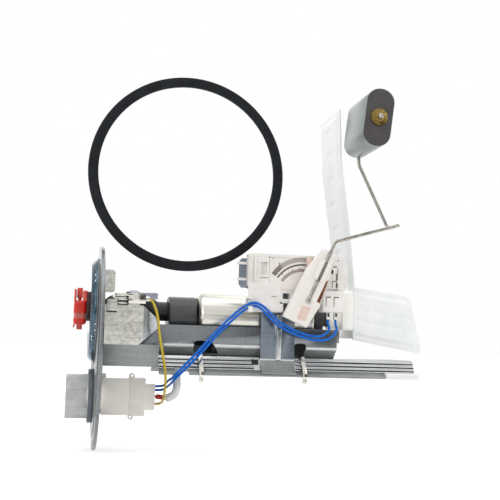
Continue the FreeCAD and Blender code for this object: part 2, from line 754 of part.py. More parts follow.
# Outlet end of the pump: an inner disc that carries a bearing, a visible ring and the port for the hose.
outletEnd = newBody("pump_outlet_end")
sketch = newSketch(outletEnd, "YZ_Plane", "pumpStart + pumpWall + 1.3")
ring(sketch, "0", "0", "pumpRadius - pumpWall - 0.1")
pad(outletEnd, sketch, "7")
sketch = newSketch(outletEnd, "YZ_Plane", "pumpStart - 0.1")
ring(sketch, "0", "0", "pumpRadius - shoulderRound - 0.1")
pad(outletEnd, sketch, "pumpWall + 2")
sketch = newSketch(outletEnd, "YZ_Plane", "bootEnd + 0.1")
ring(sketch, "0", "0", "collarRing")
pad(outletEnd, sketch, "pumpStart - bootEnd - 0.2")
sketch = newSketch(outletEnd, "YZ_Plane", "pumpStart - portLength")
ring(sketch, "0", "portOffset", "portRadius")
pad(outletEnd, sketch, "portLength")
sketch = newSketch(outletEnd, "YZ_Plane", "pumpStart + pumpWall + 8.3")
ring(sketch, "0", "portOffset", "portBore")
pocket(outletEnd, sketch, "portLength + pumpWall + 10")
sketch = newSketch(outletEnd, "YZ_Plane", "pumpStart + pumpWall + 8.3")
ring(sketch, "0", "0", "shaftRadius + bearingGap")
pocket(outletEnd, sketch, "6")
place(outletEnd, "0", "0", "pumpHeight")

# Rubber boot over the pump's outlet port and the end of the hose.
boot = newBody("pump_boot")
sketch = newSketch(boot, "YZ_Plane", "bootStart")
ring(sketch, "0", "pumpHeight", "bootRadius")
pad(boot, sketch, "bootEnd - bootStart")
roundRims(boot, "1.2", lambda edge: edge.Vertexes[0].Point.x < sizes["bootStart"] + 0.1)
sketch = newSketch(boot, "YZ_Plane", "bootEnd")
ring(sketch, "0", "pumpHeight + portOffset", "portRadius + tubeFit")
pocket(boot, sketch, "bootEnd - bootStart")
sketch = newSketch(boot, "YZ_Plane", "pumpStart - portLength + 10.2")
ring(sketch, "0", "pumpHeight + portOffset", "hoseRadius + tubeFit")
pocket(boot, sketch, "pumpStart - portLength + 10.2 - bootStart")

# Motor: two field magnets, a slotted armature with its commutator, the shaft and a pair of brushes.
motorStart = "pumpStart + 22"
magnets = newBody("pump_magnets")
sketch = newSketch(magnets, "YZ_Plane", motorStart)
ring(sketch, "0", "0", "magnetOuter")
ring(sketch, "0", "0", "magnetInner")
pad(magnets, sketch, "magnetLength")
sketch = newSketch(magnets, "YZ_Plane", f"{motorStart} + magnetLength")
rectangle(sketch, "-magnetOuter - 1", "magnetOuter + 1", "-3", "3")
pocket(magnets, sketch, "magnetLength")
place(magnets, "0", "0", "pumpHeight")

armature = newBody("pump_armature")
sketch = newSketch(armature, "YZ_Plane", f"{motorStart} + 3")
ring(sketch, "0", "0", "armatureRadius")
ring(sketch, "0", "0", "shaftRadius + bearingGap")
pad(armature, sketch, "armatureLength")
sketch = newSketch(armature, "YZ_Plane", f"{motorStart} + 3 + armatureLength")
rectangle(sketch, "-0.7", "0.7", "armatureRadius - 4", "armatureRadius + 1")
slot = pocket(armature, sketch, "armatureLength")
pattern = armature.newObject("PartDesign::PolarPattern", "armature_slots")
pattern.Originals = [slot]
pattern.Axis = (sketch, ["N_Axis"])
pattern.Angle = 360
pattern.setExpression("Occurrences", ref("armatureSlots"))
armature.Tip = pattern
place(armature, "0", "0", "pumpHeight")

commutator = newBody("pump_commutator")
sketch = newSketch(commutator, "YZ_Plane", f"{motorStart} + 2 - commutatorLength")
ring(sketch, "0", "0", "commutatorRadius")
ring(sketch, "0", "0", "shaftRadius + bearingGap")
pad(commutator, sketch, "commutatorLength")
place(commutator, "0", "0", "pumpHeight")

shaft = doc.addObject("Part::Cylinder", "pump_shaft")
shaft.Label = "pump_shaft"
shaft.setExpression("Radius", ref("shaftRadius"))
shaft.setExpression("Height", ref("pumpEnd - pumpStart - 14.5"))
shaft.Placement = Placement(Vector(0, 0, 0), Rotation(Vector(0, 1, 0), 90))
place(shaft, "pumpStart + pumpWall + 3", "0", "pumpHeight")
nodes["pump_shaft"] = shaft

brushes = newBody("pump_brushes")
sketch = newSketch(brushes, "YZ_Plane", f"{motorStart} - 5")
rectangle(sketch, "-2", "2", "commutatorRadius + 0.1", "pumpRadius - pumpWall - 0.1")
rectangle(sketch, "-2", "2", "-pumpRadius + pumpWall + 0.1", "-commutatorRadius - 0.1")
pad(brushes, sketch, "4")
place(brushes, "0", "0", "pumpHeight")

# Pumping stage: a bearing plate, the vaned impeller and the inlet cover that shows at the end of the case.
stageStart = "pumpEnd - 23"
bearing = newBody("pump_bearing_plate")
sketch = newSketch(bearing, "YZ_Plane", stageStart)
ring(sketch, "0", "0", "pumpRadius - pumpWall - 0.1")
ring(sketch, "0", "0", "shaftRadius + bearingGap")
pad(bearing, sketch, "5")
place(bearing, "0", "0", "pumpHeight")

impeller = newBody("pump_impeller")
sketch = newSketch(impeller, "YZ_Plane", f"{stageStart} + 5 + runningGap")
ring(sketch, "0", "0", "impellerRadius")
ring(sketch, "0", "0", "shaftRadius + bearingGap")
pad(impeller, sketch, "impellerThick")
sketch = newSketch(impeller, "YZ_Plane", f"{stageStart} + 5 + runningGap + impellerThick")
rectangle(sketch, "-0.9", "0.9", "impellerRadius - 2.6", "impellerRadius + 1")
notch = pocket(impeller, sketch, "impellerThick")
pattern = impeller.newObject("PartDesign::PolarPattern", "impeller_vanes")
pattern.Originals = [notch]
pattern.Axis = (sketch, ["N_Axis"])
pattern.Angle = 360
pattern.setExpression("Occurrences", ref("impellerVanes"))
impeller.Tip = pattern
place(impeller, "0", "0", "pumpHeight")

inletCover = newBody("pump_inlet_cover")
coverStart = f"{stageStart} + 5 + impellerThick + 2 * runningGap"
sketch = newSketch(inletCover, "YZ_Plane", coverStart)
ring(sketch, "0", "0", "pumpRadius - pumpWall - 0.1")
pad(inletCover, sketch, f"pumpEnd - pumpWall - 0.1 - ({coverStart})")
sketch = newSketch(inletCover, "YZ_Plane", "pumpEnd - pumpWall - 0.5")
ring(sketch, "0", "0", "pumpRadius - shoulderRound - 0.1")
pad(inletCover, sketch, "pumpWall + 0.7")
sketch = newSketch(inletCover, "YZ_Plane", "pumpEnd")
ring(sketch, "0", "0", "inletStep")
pad(inletCover, sketch, "6")
sketch = newSketch(inletCover, "YZ_Plane", "pumpEnd + 6")
ring(sketch, "0", "portOffset / 2", "inletPort")
pad(inletCover, sketch, "10")
sketch = newSketch(inletCover, "YZ_Plane", "pumpEnd + 16")
ring(sketch, "0", "portOffset / 2", "inletPort - 1.5")
pocket(inletCover, sketch, "18")
sketch = newSketch(inletCover, "YZ_Plane", f"{coverStart} + 4")
ring(sketch, "0", "0", "shaftRadius + bearingGap")
pocket(inletCover, sketch, "4")
place(inletCover, "0", "0", "pumpHeight")

# Cradle: a folded trough under the pump, windowed where the two clips come out.
cradle = newBody("pump_cradle")
sketch = newSketch(cradle, "YZ_Plane", "cradleStart")
outline(sketch, [
    ("-cradleHalf", "cradleTop"),
    ("-cradleHalf", "cradleFold"),
    ("-floorHalf", "-cradleFloor"),
    ("floorHalf", "-cradleFloor"),
    ("cradleHalf", "cradleFold"),
    ("cradleHalf", "cradleTop"),
    ("cradleHalf - sheetThick", "cradleTop"),
    ("cradleHalf - sheetThick", "cradleFold + sheetThick / 2"),
    ("floorHalf - sheetThick / 2", "-cradleFloor + sheetThick"),
    ("-floorHalf + sheetThick / 2", "-cradleFloor + sheetThick"),
    ("-cradleHalf + sheetThick", "cradleFold + sheetThick / 2"),
    ("-cradleHalf + sheetThick", "cradleTop"),
])
pad(cradle, sketch, "cradleEnd - cradleStart")


def foldOf(half, level):
    """True for the edge of a fold at that half width and level, on either side."""
    return lambda middle: abs(abs(middle.y) - half) < 0.2 and abs(middle.z - level) < 0.2


wall = sizes["sheetThick"]
fold = sizes["cradleFold"]
floor = sizes["cradleFloor"]
roundEdges(cradle, "foldRound + sheetThick", Vector(1, 0, 0), foldOf(sizes["cradleHalf"], fold))
roundEdges(cradle, "foldRound", Vector(1, 0, 0), foldOf(sizes["cradleHalf"] - wall, fold + wall / 2))
roundEdges(cradle, "foldRound + sheetThick", Vector(1, 0, 0), foldOf(sizes["floorHalf"], -floor))
roundEdges(cradle, "foldRound", Vector(1, 0, 0), foldOf(sizes["floorHalf"] - wall / 2, -floor + wall))
sketch = newSketch(cradle, "XZ_Plane", "-cradleHalf + sheetThick + 1")
rectangle(sketch, "cradleEnd - endNotch", "cradleEnd + 1", "-cradleFloor - 1", "cradleTop + 1")
pocket(cradle, sketch, "cradleHalf")
sketch = newSketch(cradle, "XZ_Plane", "cradleHalf + 3")
outline(sketch, [
    ("windowStart + 2.5", "cradleFold + windowRise"),
    ("windowStart + 0.8", "cradleFold + windowRise - 0.7"),
    ("windowStart", "cradleFold + windowRise - 2.4"),
    ("windowStart", "cradleFold - 3.6"),
    ("windowStart + 2.5", "-cradleFloor + 1.6"),
    ("windowStart + windowLength", "-cradleFloor + 1.6"),
    ("windowStart + windowLength - 7", "cradleFold + windowRise"),
])
outline(sketch, [
    ("rearWindowStart", "-cradleFloor + 3.6"),
    ("rearWindowStart + 2.8", "-cradleFloor + 1.6"),
    ("rearWindowStart + rearWindowLength - 0.8", "-cradleFloor + 1.6"),
    ("rearWindowStart + rearWindowLength", "-cradleFloor + 2.6"),
    ("rearWindowStart + rearWindowLength", "cradleFold + windowRise - 2.2"),
    ("rearWindowStart + rearWindowLength - 0.8", "cradleFold + windowRise - 0.6"),
    ("rearWindowStart + rearWindowLength - 2.6", "cradleFold + windowRise"),
    ("rearWindowStart + 2.4", "cradleFold + windowRise"),
    ("rearWindowStart + 0.7", "cradleFold + windowRise - 0.6"),
    ("rearWindowStart", "cradleFold + windowRise - 2.2"),
])
pocket(cradle, sketch, "14")

# Base rail: a hat section under the cradle with lengthwise beads on both flanks and flared lips.
rail = newBody("base_rail")
sketch = newSketch(rail, "YZ_Plane", "railStart")
outline(sketch, [
    ("-railSideHalf", "-railSideDrop"),
    ("-railTopHalf", "-cradleFloor"),
    ("railTopHalf", "-cradleFloor"),
    ("railSideHalf", "-railSideDrop"),
    ("railSideHalf - sheetThick", "-railSideDrop"),
    ("railTopHalf - sheetThick", "-cradleFloor - sheetThick"),
    ("-railTopHalf + sheetThick", "-cradleFloor - sheetThick"),
    ("-railSideHalf + sheetThick", "-railSideDrop"),
])
pad(rail, sketch, "railEnd - railStart")
roundEdges(rail, "railFold + sheetThick", Vector(1, 0, 0), foldOf(sizes["railTopHalf"], -floor))
roundEdges(rail, "railFold", Vector(1, 0, 0), foldOf(sizes["railTopHalf"] - wall, -floor - wall))
sketch = newSketch(rail, "YZ_Plane", "railStart")
for side in ("-", ""):
    outline(sketch, [
        (f"{side}(railSideHalf - sheetThick)", "-railSideDrop + 0.4"),
        (f"{side}(railSideHalf)", "-railSideDrop + 0.4"),
        (f"{side}(railLipHalf)", "-railLipDrop + sheetThick"),
        (f"{side}(railLipHalf)", "-railLipDrop"),
        (f"{side}(railSideHalf - sheetThick)", "-railSideDrop - sheetThick / 2"),
    ])
pad(rail, sketch, "railLipEnd - railStart")
flankSlope = "(railSideHalf - railTopHalf) / (railSideDrop - cradleFloor)"
for beadStart, beadEnd in (("railStart", "strapStart - 5"), ("strapEnd + 1", "railEnd")):
    sketch = newSketch(rail, "YZ_Plane", beadStart)
    for number in range(1, 4):
        for side in ("-", ""):
            drop = f"({number} * beadPitch)"
            ring(sketch, f"{side}(railTopHalf + {drop} * {flankSlope})", f"-cradleFloor - {drop}", "beadRadius")
    pad(rail, sketch, f"{beadEnd} - ({beadStart})")
sketch = newSketch(rail, "XZ_Plane", "railLipHalf + 1")
rectangle(sketch, "strapStart - 6.5", "strapStart - 1", "-cradleFloor - 6", "-cradleFloor - 2")
rectangle(sketch, "railStart + 12", "railStart + 22", "-railLipDrop - 1", "-railSideDrop + 1")
pocket(rail, sketch, "14")

# Nylon foot across the open end of the rail.
foot = newBody("rail_foot")
footTop = "-railSideDrop"
slab(foot, "railLipEnd + 0.5", "railEnd + 2", "railLipHalf", "-railLipHalf", f"{footTop} - footThick", footTop)
roundEdges(foot, "footRound", Vector(1, 0, 0))

# Rubber saddles between cradle and pump.
for label, middle in (("saddle_front", "pumpStart + 14"), ("saddle_rear", "pumpEnd - 27")):
    saddle = newBody(label)
    sketch = newSketch(saddle, "YZ_Plane", f"{middle} - saddleLength / 2")
    outline(sketch, [
        ("-floorHalf + 1.4", "-cradleFloor + sheetThick"),
        ("floorHalf - 1.4", "-cradleFloor + sheetThick"),
        ("saddleHalf + 4", "cradleFold + 1"),
        ("saddleHalf + 4", "saddleTop"),
        ("-saddleHalf - 4", "saddleTop"),
        ("-saddleHalf - 4", "cradleFold + 1"),
    ])
    pad(saddle, sketch, "saddleLength")
    sketch = newSketch(saddle, "YZ_Plane", f"{middle} + saddleLength / 2 + 1")
    ring(sketch, "0", "pumpHeight", "pumpRadius + 0.02")
    pocket(saddle, sketch, "saddleLength + 2")

# Spring clips: strips that hook through the cradle's windows and over the rail's lip.
for label, along in (("clip_front", "windowStart + 3.2"), ("clip_rear", "rearWindowStart + 4.5")):
    clip = newBody(label)
    sketch = newSketch(clip, "YZ_Plane", along)
    outline(sketch, [
        ("-floorHalf + clipHook", "-cradleFloor + sheetThick + 1.6"),
        ("-floorHalf - 2.4", "-cradleFloor + sheetThick + 1.6"),
        ("-railTopHalf - 3.8", "-cradleFloor + 1"),
        ("-railLipHalf - 1.8", "-railLipDrop + 3"),
        ("-railLipHalf - 1.8", "-railLipDrop - clipThick - 0.3"),
        ("-railLipHalf + 1.5", "-railLipDrop - clipThick - 0.3"),
        ("-railLipHalf + 1.5", "-railLipDrop - 0.3"),
        ("-railLipHalf - 0.8", "-railLipDrop - 0.3"),
        ("-railLipHalf - 0.8", "-railLipDrop + 2.6"),
        ("-railTopHalf - 3.2", "-cradleFloor"),
        ("-floorHalf - 2.2", "-cradleFloor + 1.75"),
        ("-floorHalf - 0.4", "-cradleFloor + 1.75"),
        ("-floorHalf + clipHook - clipThick", "-cradleFloor + sheetThick"),
        ("-floorHalf + clipHook", "-cradleFloor + sheetThick"),
    ])
    pad(clip, sketch, "clipWidth")
    sketch = newSketch(clip, "YZ_Plane", along)
    ring(sketch, "-railLipHalf - 0.6", "-railLipDrop - clipThick - 0.2 - clipCurl", "clipCurl")
    ring(sketch, "-railLipHalf - 0.6", "-railLipDrop - clipThick - 0.2 - clipCurl", "clipCurl - 0.9")
    pad(clip, sketch, "clipWidth")

# Sender bracket: an upright strap from the rail, stiffened by a bead, that widens into the sender's back plate.
bracket = newBody("sender_bracket")
sketch = newSketch(bracket, "XZ_Plane", "cradleHalf")
outline(sketch, [
    ("strapStart", "-cradleFloor - 2.2"),
    ("strapEnd", "-cradleFloor - 2.2"),
    ("strapEnd", "31"),
    ("strapEnd + 8", "38"),
    ("strapEnd + 8", "sheetTop - 4"),
    ("housingStart", "sheetTop - 0.5"),
    ("tabStart + 2", "sheetTop - 0.5"),
    ("tabStart", "sheetTop - 3"),
    ("tabStart", "50"),
    ("tabStart + 2", "47.3"),
    ("housingStart + 1", "47.3"),
    ("strapStart", "33"),
])
pad(bracket, sketch, "sheetThick")
sketch = newSketch(bracket, "YZ_Plane", "strapStart")
outline(sketch, [
    ("-cradleHalf", "-cradleFloor - 2.2"),
    ("-cradleHalf", "-cradleFloor - 1.8"),
    ("-cradleHalf - sheetThick", "-cradleFloor - 1.8"),
    ("-railSideHalf - sheetThick", "-railSideDrop + 1"),
    ("-railLipHalf - 0.6", "-railLipDrop + sheetThick + 1.6"),
    ("-railLipHalf + 0.2", "-railLipDrop + sheetThick + 0.4"),
    ("-railSideHalf - 0.05", "-railSideDrop + 0.5"),
])
pad(bracket, sketch, "strapEnd - strapStart")
roundEdges(bracket, "foldRound", Vector(1, 0, 0), foldOf(sizes["cradleHalf"] + wall, -floor - 1.8))
sketch = newSketch(bracket, "XY_Plane", "-cradleFloor - 0.6")
strapMiddle = "(strapStart + strapEnd) / 2"
strapFace = "-cradleHalf - sheetThick"
outline(sketch, [
    (f"{strapMiddle} - strapBead", f"{strapFace} + 0.2"),
    (f"{strapMiddle} - strapBead * 0.82", f"{strapFace} - strapBeadRise * 0.34"),
    (f"{strapMiddle} - strapBead * 0.52", f"{strapFace} - strapBeadRise * 0.8"),
    (f"{strapMiddle} - strapBead * 0.18", f"{strapFace} - strapBeadRise"),
    (f"{strapMiddle} + strapBead * 0.18", f"{strapFace} - strapBeadRise"),
    (f"{strapMiddle} + strapBead * 0.52", f"{strapFace} - strapBeadRise * 0.8"),
    (f"{strapMiddle} + strapBead * 0.82", f"{strapFace} - strapBeadRise * 0.34"),
    (f"{strapMiddle} + strapBead", f"{strapFace} + 0.2"),
])
pad(bracket, sketch, "cradleFloor + 0.6 + 28.4")

# Sender housing: a moulded plate with a recess for the card, a terminal step, a lower cover and a stop.
sender = newBody("sender_housing")
plateBack = "cradleHalf + sheetThick"
plateFront = "cradleHalf + sheetThick + housingThick"
sketch = newSketch(sender, "XZ_Plane", plateBack)
outline(sketch, [
    ("housingStart", "housingTop"),
    ("housingEnd", "housingTop"),
    ("housingEnd", "earTop"),
    ("housingEnd + housingEar", "earTop"),
    ("housingEnd + housingEar", "earFoot"),
    ("housingEnd - 1.4", "earFoot"),
    ("housingEnd - 1.4", "stepFoot"),
    ("stepStart", "stepFoot"),
    ("stepStart", "plateFoot"),
    ("coverEnd", "plateFoot"),
    ("coverEnd", "coverFoot"),
    ("coverStart", "coverFoot"),
    ("coverStart", "earFoot - 1.2"),
    ("housingStart", "earFoot + 0.6"),
])
pad(sender, sketch, "housingThick")
roundEdges(sender, "1.5", Vector(0, 1, 0), lambda middle: middle.z > sizes["housingTop"] - 1)
sketch = newSketch(sender, "XZ_Plane", plateFront)
rectangle(sketch, "cardStart - cardGap", "cardEnd + cardGap", "cardFoot - cardGap", "housingTop - cardMargin + cardGap")
pocket(sender, sketch, "cardDepth")
sketch = newSketch(sender, "XZ_Plane", plateFront)
rectangle(sketch, "cardStart - 6.7", "cardStart - 1.9", "cardFoot + 10.6", "cardFoot + 19.8")
rectangle(sketch, "coverEnd - 8.3", "coverEnd - 3.8", "plateFoot + 0.2", "plateFoot + 6.1")
rectangle(sketch, "housingEnd - 7.4", "housingEnd - 5.8", "earTop - 10.2", "earTop - 0.8")
pocket(sender, sketch, "3")
sketch = newSketch(sender, "XZ_Plane", plateFront)
ring(sketch, "pivotAlong", "pivotHeight", "pivotRadius + pivotGap")
pocket(sender, sketch, "housingThick")
sketch = newSketch(sender, "XZ_Plane", plateFront)
rectangle(sketch, "coverEnd - 0.5", "coverEnd + 5.2", "pivotHeight - 2.6", "pivotHeight + 1.8")
pocket(sender, sketch, "housingThick")
sketch = newSketch(sender, "XZ_Plane", f"{plateFront} - 0.3")
for rib in ("housingStart + 1.6", "housingStart + 4.4"):
    rectangle(sketch, rib, f"{rib} + 1.2", "earFoot + 3.1", "housingTop - 2")
rectangle(sketch, "stepStart + 0.4", "housingEnd - 1.8", "stepFoot + 0.4", "earFoot - 1.2")
rectangle(sketch, "coverStart + 0.5", "coverEnd - 0.4", "coverFoot + 0.4", "plateFoot - 0.9")
pad(sender, sketch, "0.7 + cardDepth * 2")
sketch = newSketch(sender, "XZ_Plane", f"{plateFront} - cardDepth - 0.3")
outline(sketch, [
    ("stepStart + 4.7", "earTop - 5"),
    ("stepStart + 5.82", "earTop + 1"),
    ("stepStart + 9.7", "earTop + 1"),
    ("stepStart + 9.7", "earTop - 5"),
])
pad(sender, sketch, "wiperGap + wiperThick + cardDepth")

# Resistor card in the housing's recess.
card = newBody("resistor_card")
sketch = newSketch(card, "XZ_Plane", f"{plateFront} - cardDepth")
rectangle(sketch, "cardStart", "cardEnd", "cardFoot", "housingTop - cardMargin")
pad(card, sketch, "cardDepth")

# Resistor tracks: three printed arcs about the wiper's pivot.
trackPlane = -(sizes["cradleHalf"] + sizes["sheetThick"] + sizes["housingThick"])
pivot = Vector(sizes["pivotAlong"], trackPlane, sizes["pivotHeight"])
sectorCorners = [pivot]
for degrees in (146, 120, 90, 66):
    heading = Vector(math.cos(math.radians(degrees)), 0, math.sin(math.radians(degrees)))
    sectorCorners.append(pivot + heading * sizes["trackOuter"] * 1.5)
sectorCorners.append(pivot)
sector = Part.Face(Part.makePolygon(sectorCorners)).extrude(Vector(0, -sizes["trackThick"], 0))
tracks = []
for middle, width in ((sizes["trackOuter"], 3.4), (sizes["trackMiddle"], 1.0), (sizes["trackInner"], 2.2)):
    outer = Part.makeCylinder(middle + width / 2, sizes["trackThick"], pivot, Vector(0, -1, 0))
    inner = Part.makeCylinder(middle - width / 2, sizes["trackThick"], pivot, Vector(0, -1, 0))
    band = outer.cut(inner)
    tracks.append(band.common(sector))
keep("resistor_tracks", Part.makeCompound([solid for track in tracks for solid in track.Solids]))

# Terminals under the sender: two strips on the terminal step with crimp barrels below.
terminals = newBody("sender_terminals")
stepFront = f"{plateFront} + 0.4 + cardDepth * 2"
for along in ("stepStart + 5.6", "stepStart + 11.7"):
    sketch = newSketch(terminals, "XZ_Plane", f"{plateFront} - 4")
    rectangle(sketch, f"{along} - 1.2", f"{along} + 1.2", "stepFoot - 5.2", "stepFoot")
    pad(terminals, sketch, "2.4")
    sketch = newSketch(terminals, "XZ_Plane", f"{stepFront} + 0.02")
    outline(sketch, [
        (f"{along} - 3.4", "stepFoot + 1.2"),
        (f"{along} - 2.4", "stepFoot + 1.2"),
        (f"{along} - 2.4", "stepFoot + 10.8"),
        (f"{along} + 1", "stepFoot + 10.8"),
        (f"{along} + 1", "stepFoot + 11.8"),
        (f"{along} - 3.4", "stepFoot + 11.8"),
    ])
    pad(terminals, sketch, "0.3")

# Clips: two moulded hooks that hold the housing on the bracket's tab.
clips = newBody("bracket_clips")
for foot in ("earFoot + 4.2", "earTop - 0.4"):
    top = f"{foot} + 2"
    slab(clips, "tabStart - 1.2", "housingStart - 0.1", f"{plateBack} + 1.6", f"{plateBack} + 0.02", foot, top)
    slab(clips, "tabStart - 1.2", "tabStart - 0.1", f"{plateBack} + 0.5", f"{plateBack} - sheetThick - 1.2", foot, top)

# Harness clip on the housing's lower left corner.
harnessClip = newBody("harness_clip")
clipLeft = "coverStart - 3.5"
clipRight = "coverStart - 0.1"
clipFront = f"{plateFront} + 7"
clipBack = f"{plateFront} - 5"
slab(harnessClip, clipLeft, clipRight, clipFront, clipBack, "coverFoot + 9.2", "coverFoot + 10.6")
slab(harnessClip, clipLeft, clipRight, clipFront, clipBack, "coverFoot - 0.6", "coverFoot + 0.8")
slab(harnessClip, clipLeft, clipRight, f"{clipBack} + 1.2", clipBack, "coverFoot - 0.6", "coverFoot + 10.6")
slab(harnessClip, clipLeft, clipRight, clipFront, f"{clipFront} - 1", "coverFoot - 0.6", "coverFoot + 3.6")

# Wiper arm: a tapered moulding on the pivot with a saddle that grips the float wire.
wiper = newBody("wiper_arm")
wiperBack = f"{plateFront} + cardDepth + wiperGap + trackThick"


def aboutPivot(shares):
    """Corners whose places from the pivot are shares of the wiper's reach."""
    return [(f"pivotAlong + wiperReach * {right}", f"pivotHeight + wiperReach * {up}") for right, up in shares]


sketch = newSketch(wiper, "XZ_Plane", wiperBack)
outline(sketch, aboutPivot([
    (0.349, 1.0), (0.631, 0.927), (0.461, 0.011), (0.047, -0.659), (-0.455, -0.436), (0.020, 0.556),
]))
pad(wiper, sketch, "wiperThick")
sketch = newSketch(wiper, "XZ_Plane", f"{wiperBack} + wiperThick - 0.5")
outline(sketch, aboutPivot([(0.154, 0.374), (0.372, 0.279), (0.545, 0.698), (0.327, 0.793)]))
pad(wiper, sketch, "3")
sketch = newSketch(wiper, "XZ_Plane", f"{plateBack} + 0.3")
ring(sketch, "pivotAlong", "pivotHeight", "pivotRadius")
pad(wiper, sketch, f"{wiperBack} - ({plateBack}) + 0.2")

# Float wire: hooked into the wiper, bent up beside it, carried across to the far plane and up to the float.
stack = ("cradleHalf", "sheetThick", "housingThick", "cardDepth", "wiperGap", "trackThick", "wiperThick")
armPlane = -sum(sizes[layer] for layer in stack)
crossPlane = -(sizes["floatBack"] - 3.0)
tipPlane = -(sizes["floatFront"] + sizes["tipReach"])
floatRoute = [
    (sizes["hookAlong"], armPlane + sizes["hookDepth"], sizes["hookHeight"]),
    (sizes["hookAlong"], armPlane, sizes["hookHeight"]),
    (sizes["bendAlong"], armPlane, sizes["bendHeight"]),
    (sizes["crankAlong"], armPlane, sizes["crankHeight"]),
    (sizes["crankAlong"], crossPlane, sizes["crankHeight"]),
    (sizes["riseAlong"], crossPlane, sizes["riseHeight"]),
    (sizes["floatAlong"], crossPlane, sizes["floatHeight"]),
    (sizes["floatAlong"], tipPlane, sizes["floatHeight"]),
]
bends = [sizes[name] for name in ("hookRound", "wireRound", "wireRound", "wireRound", "riseRound", "tipRound")]
floatPath = roundedPath(floatRoute, bends)
floatWire = rod(floatPath, sizes["wireRadius"])
wireTip = Part.makeSphere(sizes["wireRadius"] * 1.35, Vector(*floatRoute[-1]))
keep("float_wire", floatWire.fuse(wireTip).removeSplitter())

# The wiper's groove is the wire's own course, a little larger.
groove = doc.addObject("Part::Feature", "wire_groove")
grooveRadius = sizes["wireRadius"] + 0.04
grooveStart = Vector(*floatRoute[1])
grooveRun = Vector(*floatRoute[2]) - grooveStart
grooveSide = Vector(grooveRun.z, 0, -grooveRun.x).normalize() * grooveRadius
grooveEnd = grooveStart + grooveRun
trench = [grooveStart + grooveSide, grooveEnd + grooveSide, grooveEnd - grooveSide, grooveStart - grooveSide]
trenchCut = Part.Face(Part.makePolygon(trench + trench[:1])).extrude(Vector(0, -6, 0))
groove.Shape = rod(roundedPath(floatRoute[:4], bends[:2]), grooveRadius).fuse(trenchCut)
grooved = doc.addObject("Part::Cut", "wiper_grooved")
grooved.Base = wiper
grooved.Tool = groove
grooved.Label = "wiper_arm_grooved"
nodes["wiper_arm"] = grooved

# Wiper contact: a spring strip under the wiper whose fingers reach the tracks.
contact = newBody("wiper_contact")
contactLow = "pivotHeight + trackInner - 11.6"
contactHigh = "pivotHeight + trackOuter + 1.8"
slab(contact, "pivotAlong + 2", "pivotAlong + 6", f"{wiperBack} - 0.05", f"{wiperBack} - 0.45", contactLow, contactHigh)
for reach in ("trackOuter", "trackMiddle", "trackInner"):
    middle = f"pivotHeight + {reach} * 0.985"
    sketch = newSketch(contact, "XZ_Plane", f"{plateFront} + trackThick + 0.05")
    rectangle(sketch, "pivotAlong + 3.1", "pivotAlong + 4.9", f"{middle} - 0.6", f"{middle} + 0.6")
    pad(contact, sketch, f"{wiperBack} - 0.4 - ({plateFront} + trackThick + 0.05)")

# Float: a tall bar of closed foam with rounded edges, bored for its wire.
floatBody = newBody("float")
sketch = newSketch(floatBody, "XZ_Plane", "floatBack + 1")
rectangle(sketch, "-floatWidth / 2", "floatWidth / 2", "-floatTall / 2", "floatTall / 2")
pad(floatBody, sketch, "floatFront - floatBack - 1")
roundEdges(floatBody, "floatWidth / 2 - 0.4", Vector(0, 1, 0))
sketch = newSketch(floatBody, "XZ_Plane", "floatFront")
ring(sketch, "0", "0", "wireRadius + 0.1")
pocket(floatBody, sketch, "floatFront - floatBack")
floatBody.Placement = Placement(Vector(0, 0, 0), Rotation(Vector(0, 1, 0), sizes["floatTilt"]))
place(floatBody, "floatAlong", "0", "floatHeight")

# Push nut that keeps the float on its wire.
nut = newBody("push_nut")
sketch = newSketch(nut, "XZ_Plane", "floatFront + 0.4")
ring(sketch, "floatAlong", "floatHeight", "nutRadius")
ring(sketch, "floatAlong", "floatHeight", "wireRadius + 0.02")
pad(nut, sketch, "0.8")
sketch = newSketch(nut, "XZ_Plane", "floatFront + 1")
ring(sketch, "floatAlong", "floatHeight", "nutRadius / 2")
ring(sketch, "floatAlong", "floatHeight", "wireRadius + 0.02")
pad(nut, sketch, "1.4")

# Strainer neck: a socket on the pump's inlet that opens into the sock.
neck = newBody("strainer_neck")
sketch = newSketch(neck, "YZ_Plane", "strainerNeckStart")
ring(sketch, "0", "pumpHeight + portOffset / 2", "inletPort + 2")
pad(neck, sketch, "neckTube")
sketch = newSketch(neck, "YZ_Plane", "strainerNeckStart + neckBoxStart")
rectangle(sketch, "-neckBoxFar", "neckBoxNear", "neckBoxFoot", "neckBoxTop")
pad(neck, sketch, "neckBoxLength")
roundEdges(neck, "neckRound", Vector(1, 0, 0), lambda middle: abs(middle.y) > sizes["neckBoxFar"] - 1)
sketch = newSketch(neck, "YZ_Plane", "strainerNeckStart + neckBoxStart + neckBoxLength")
ring(sketch, "0", "pumpHeight + portOffset / 2", "inletPort - 1.5")
pocket(neck, sketch, "neckBoxStart + neckBoxLength")
sketch = newSketch(neck, "YZ_Plane", "pumpEnd + 16.2")
ring(sketch, "0", "pumpHeight + portOffset / 2", "inletPort + tubeFit")
pocket(neck, sketch, "10")

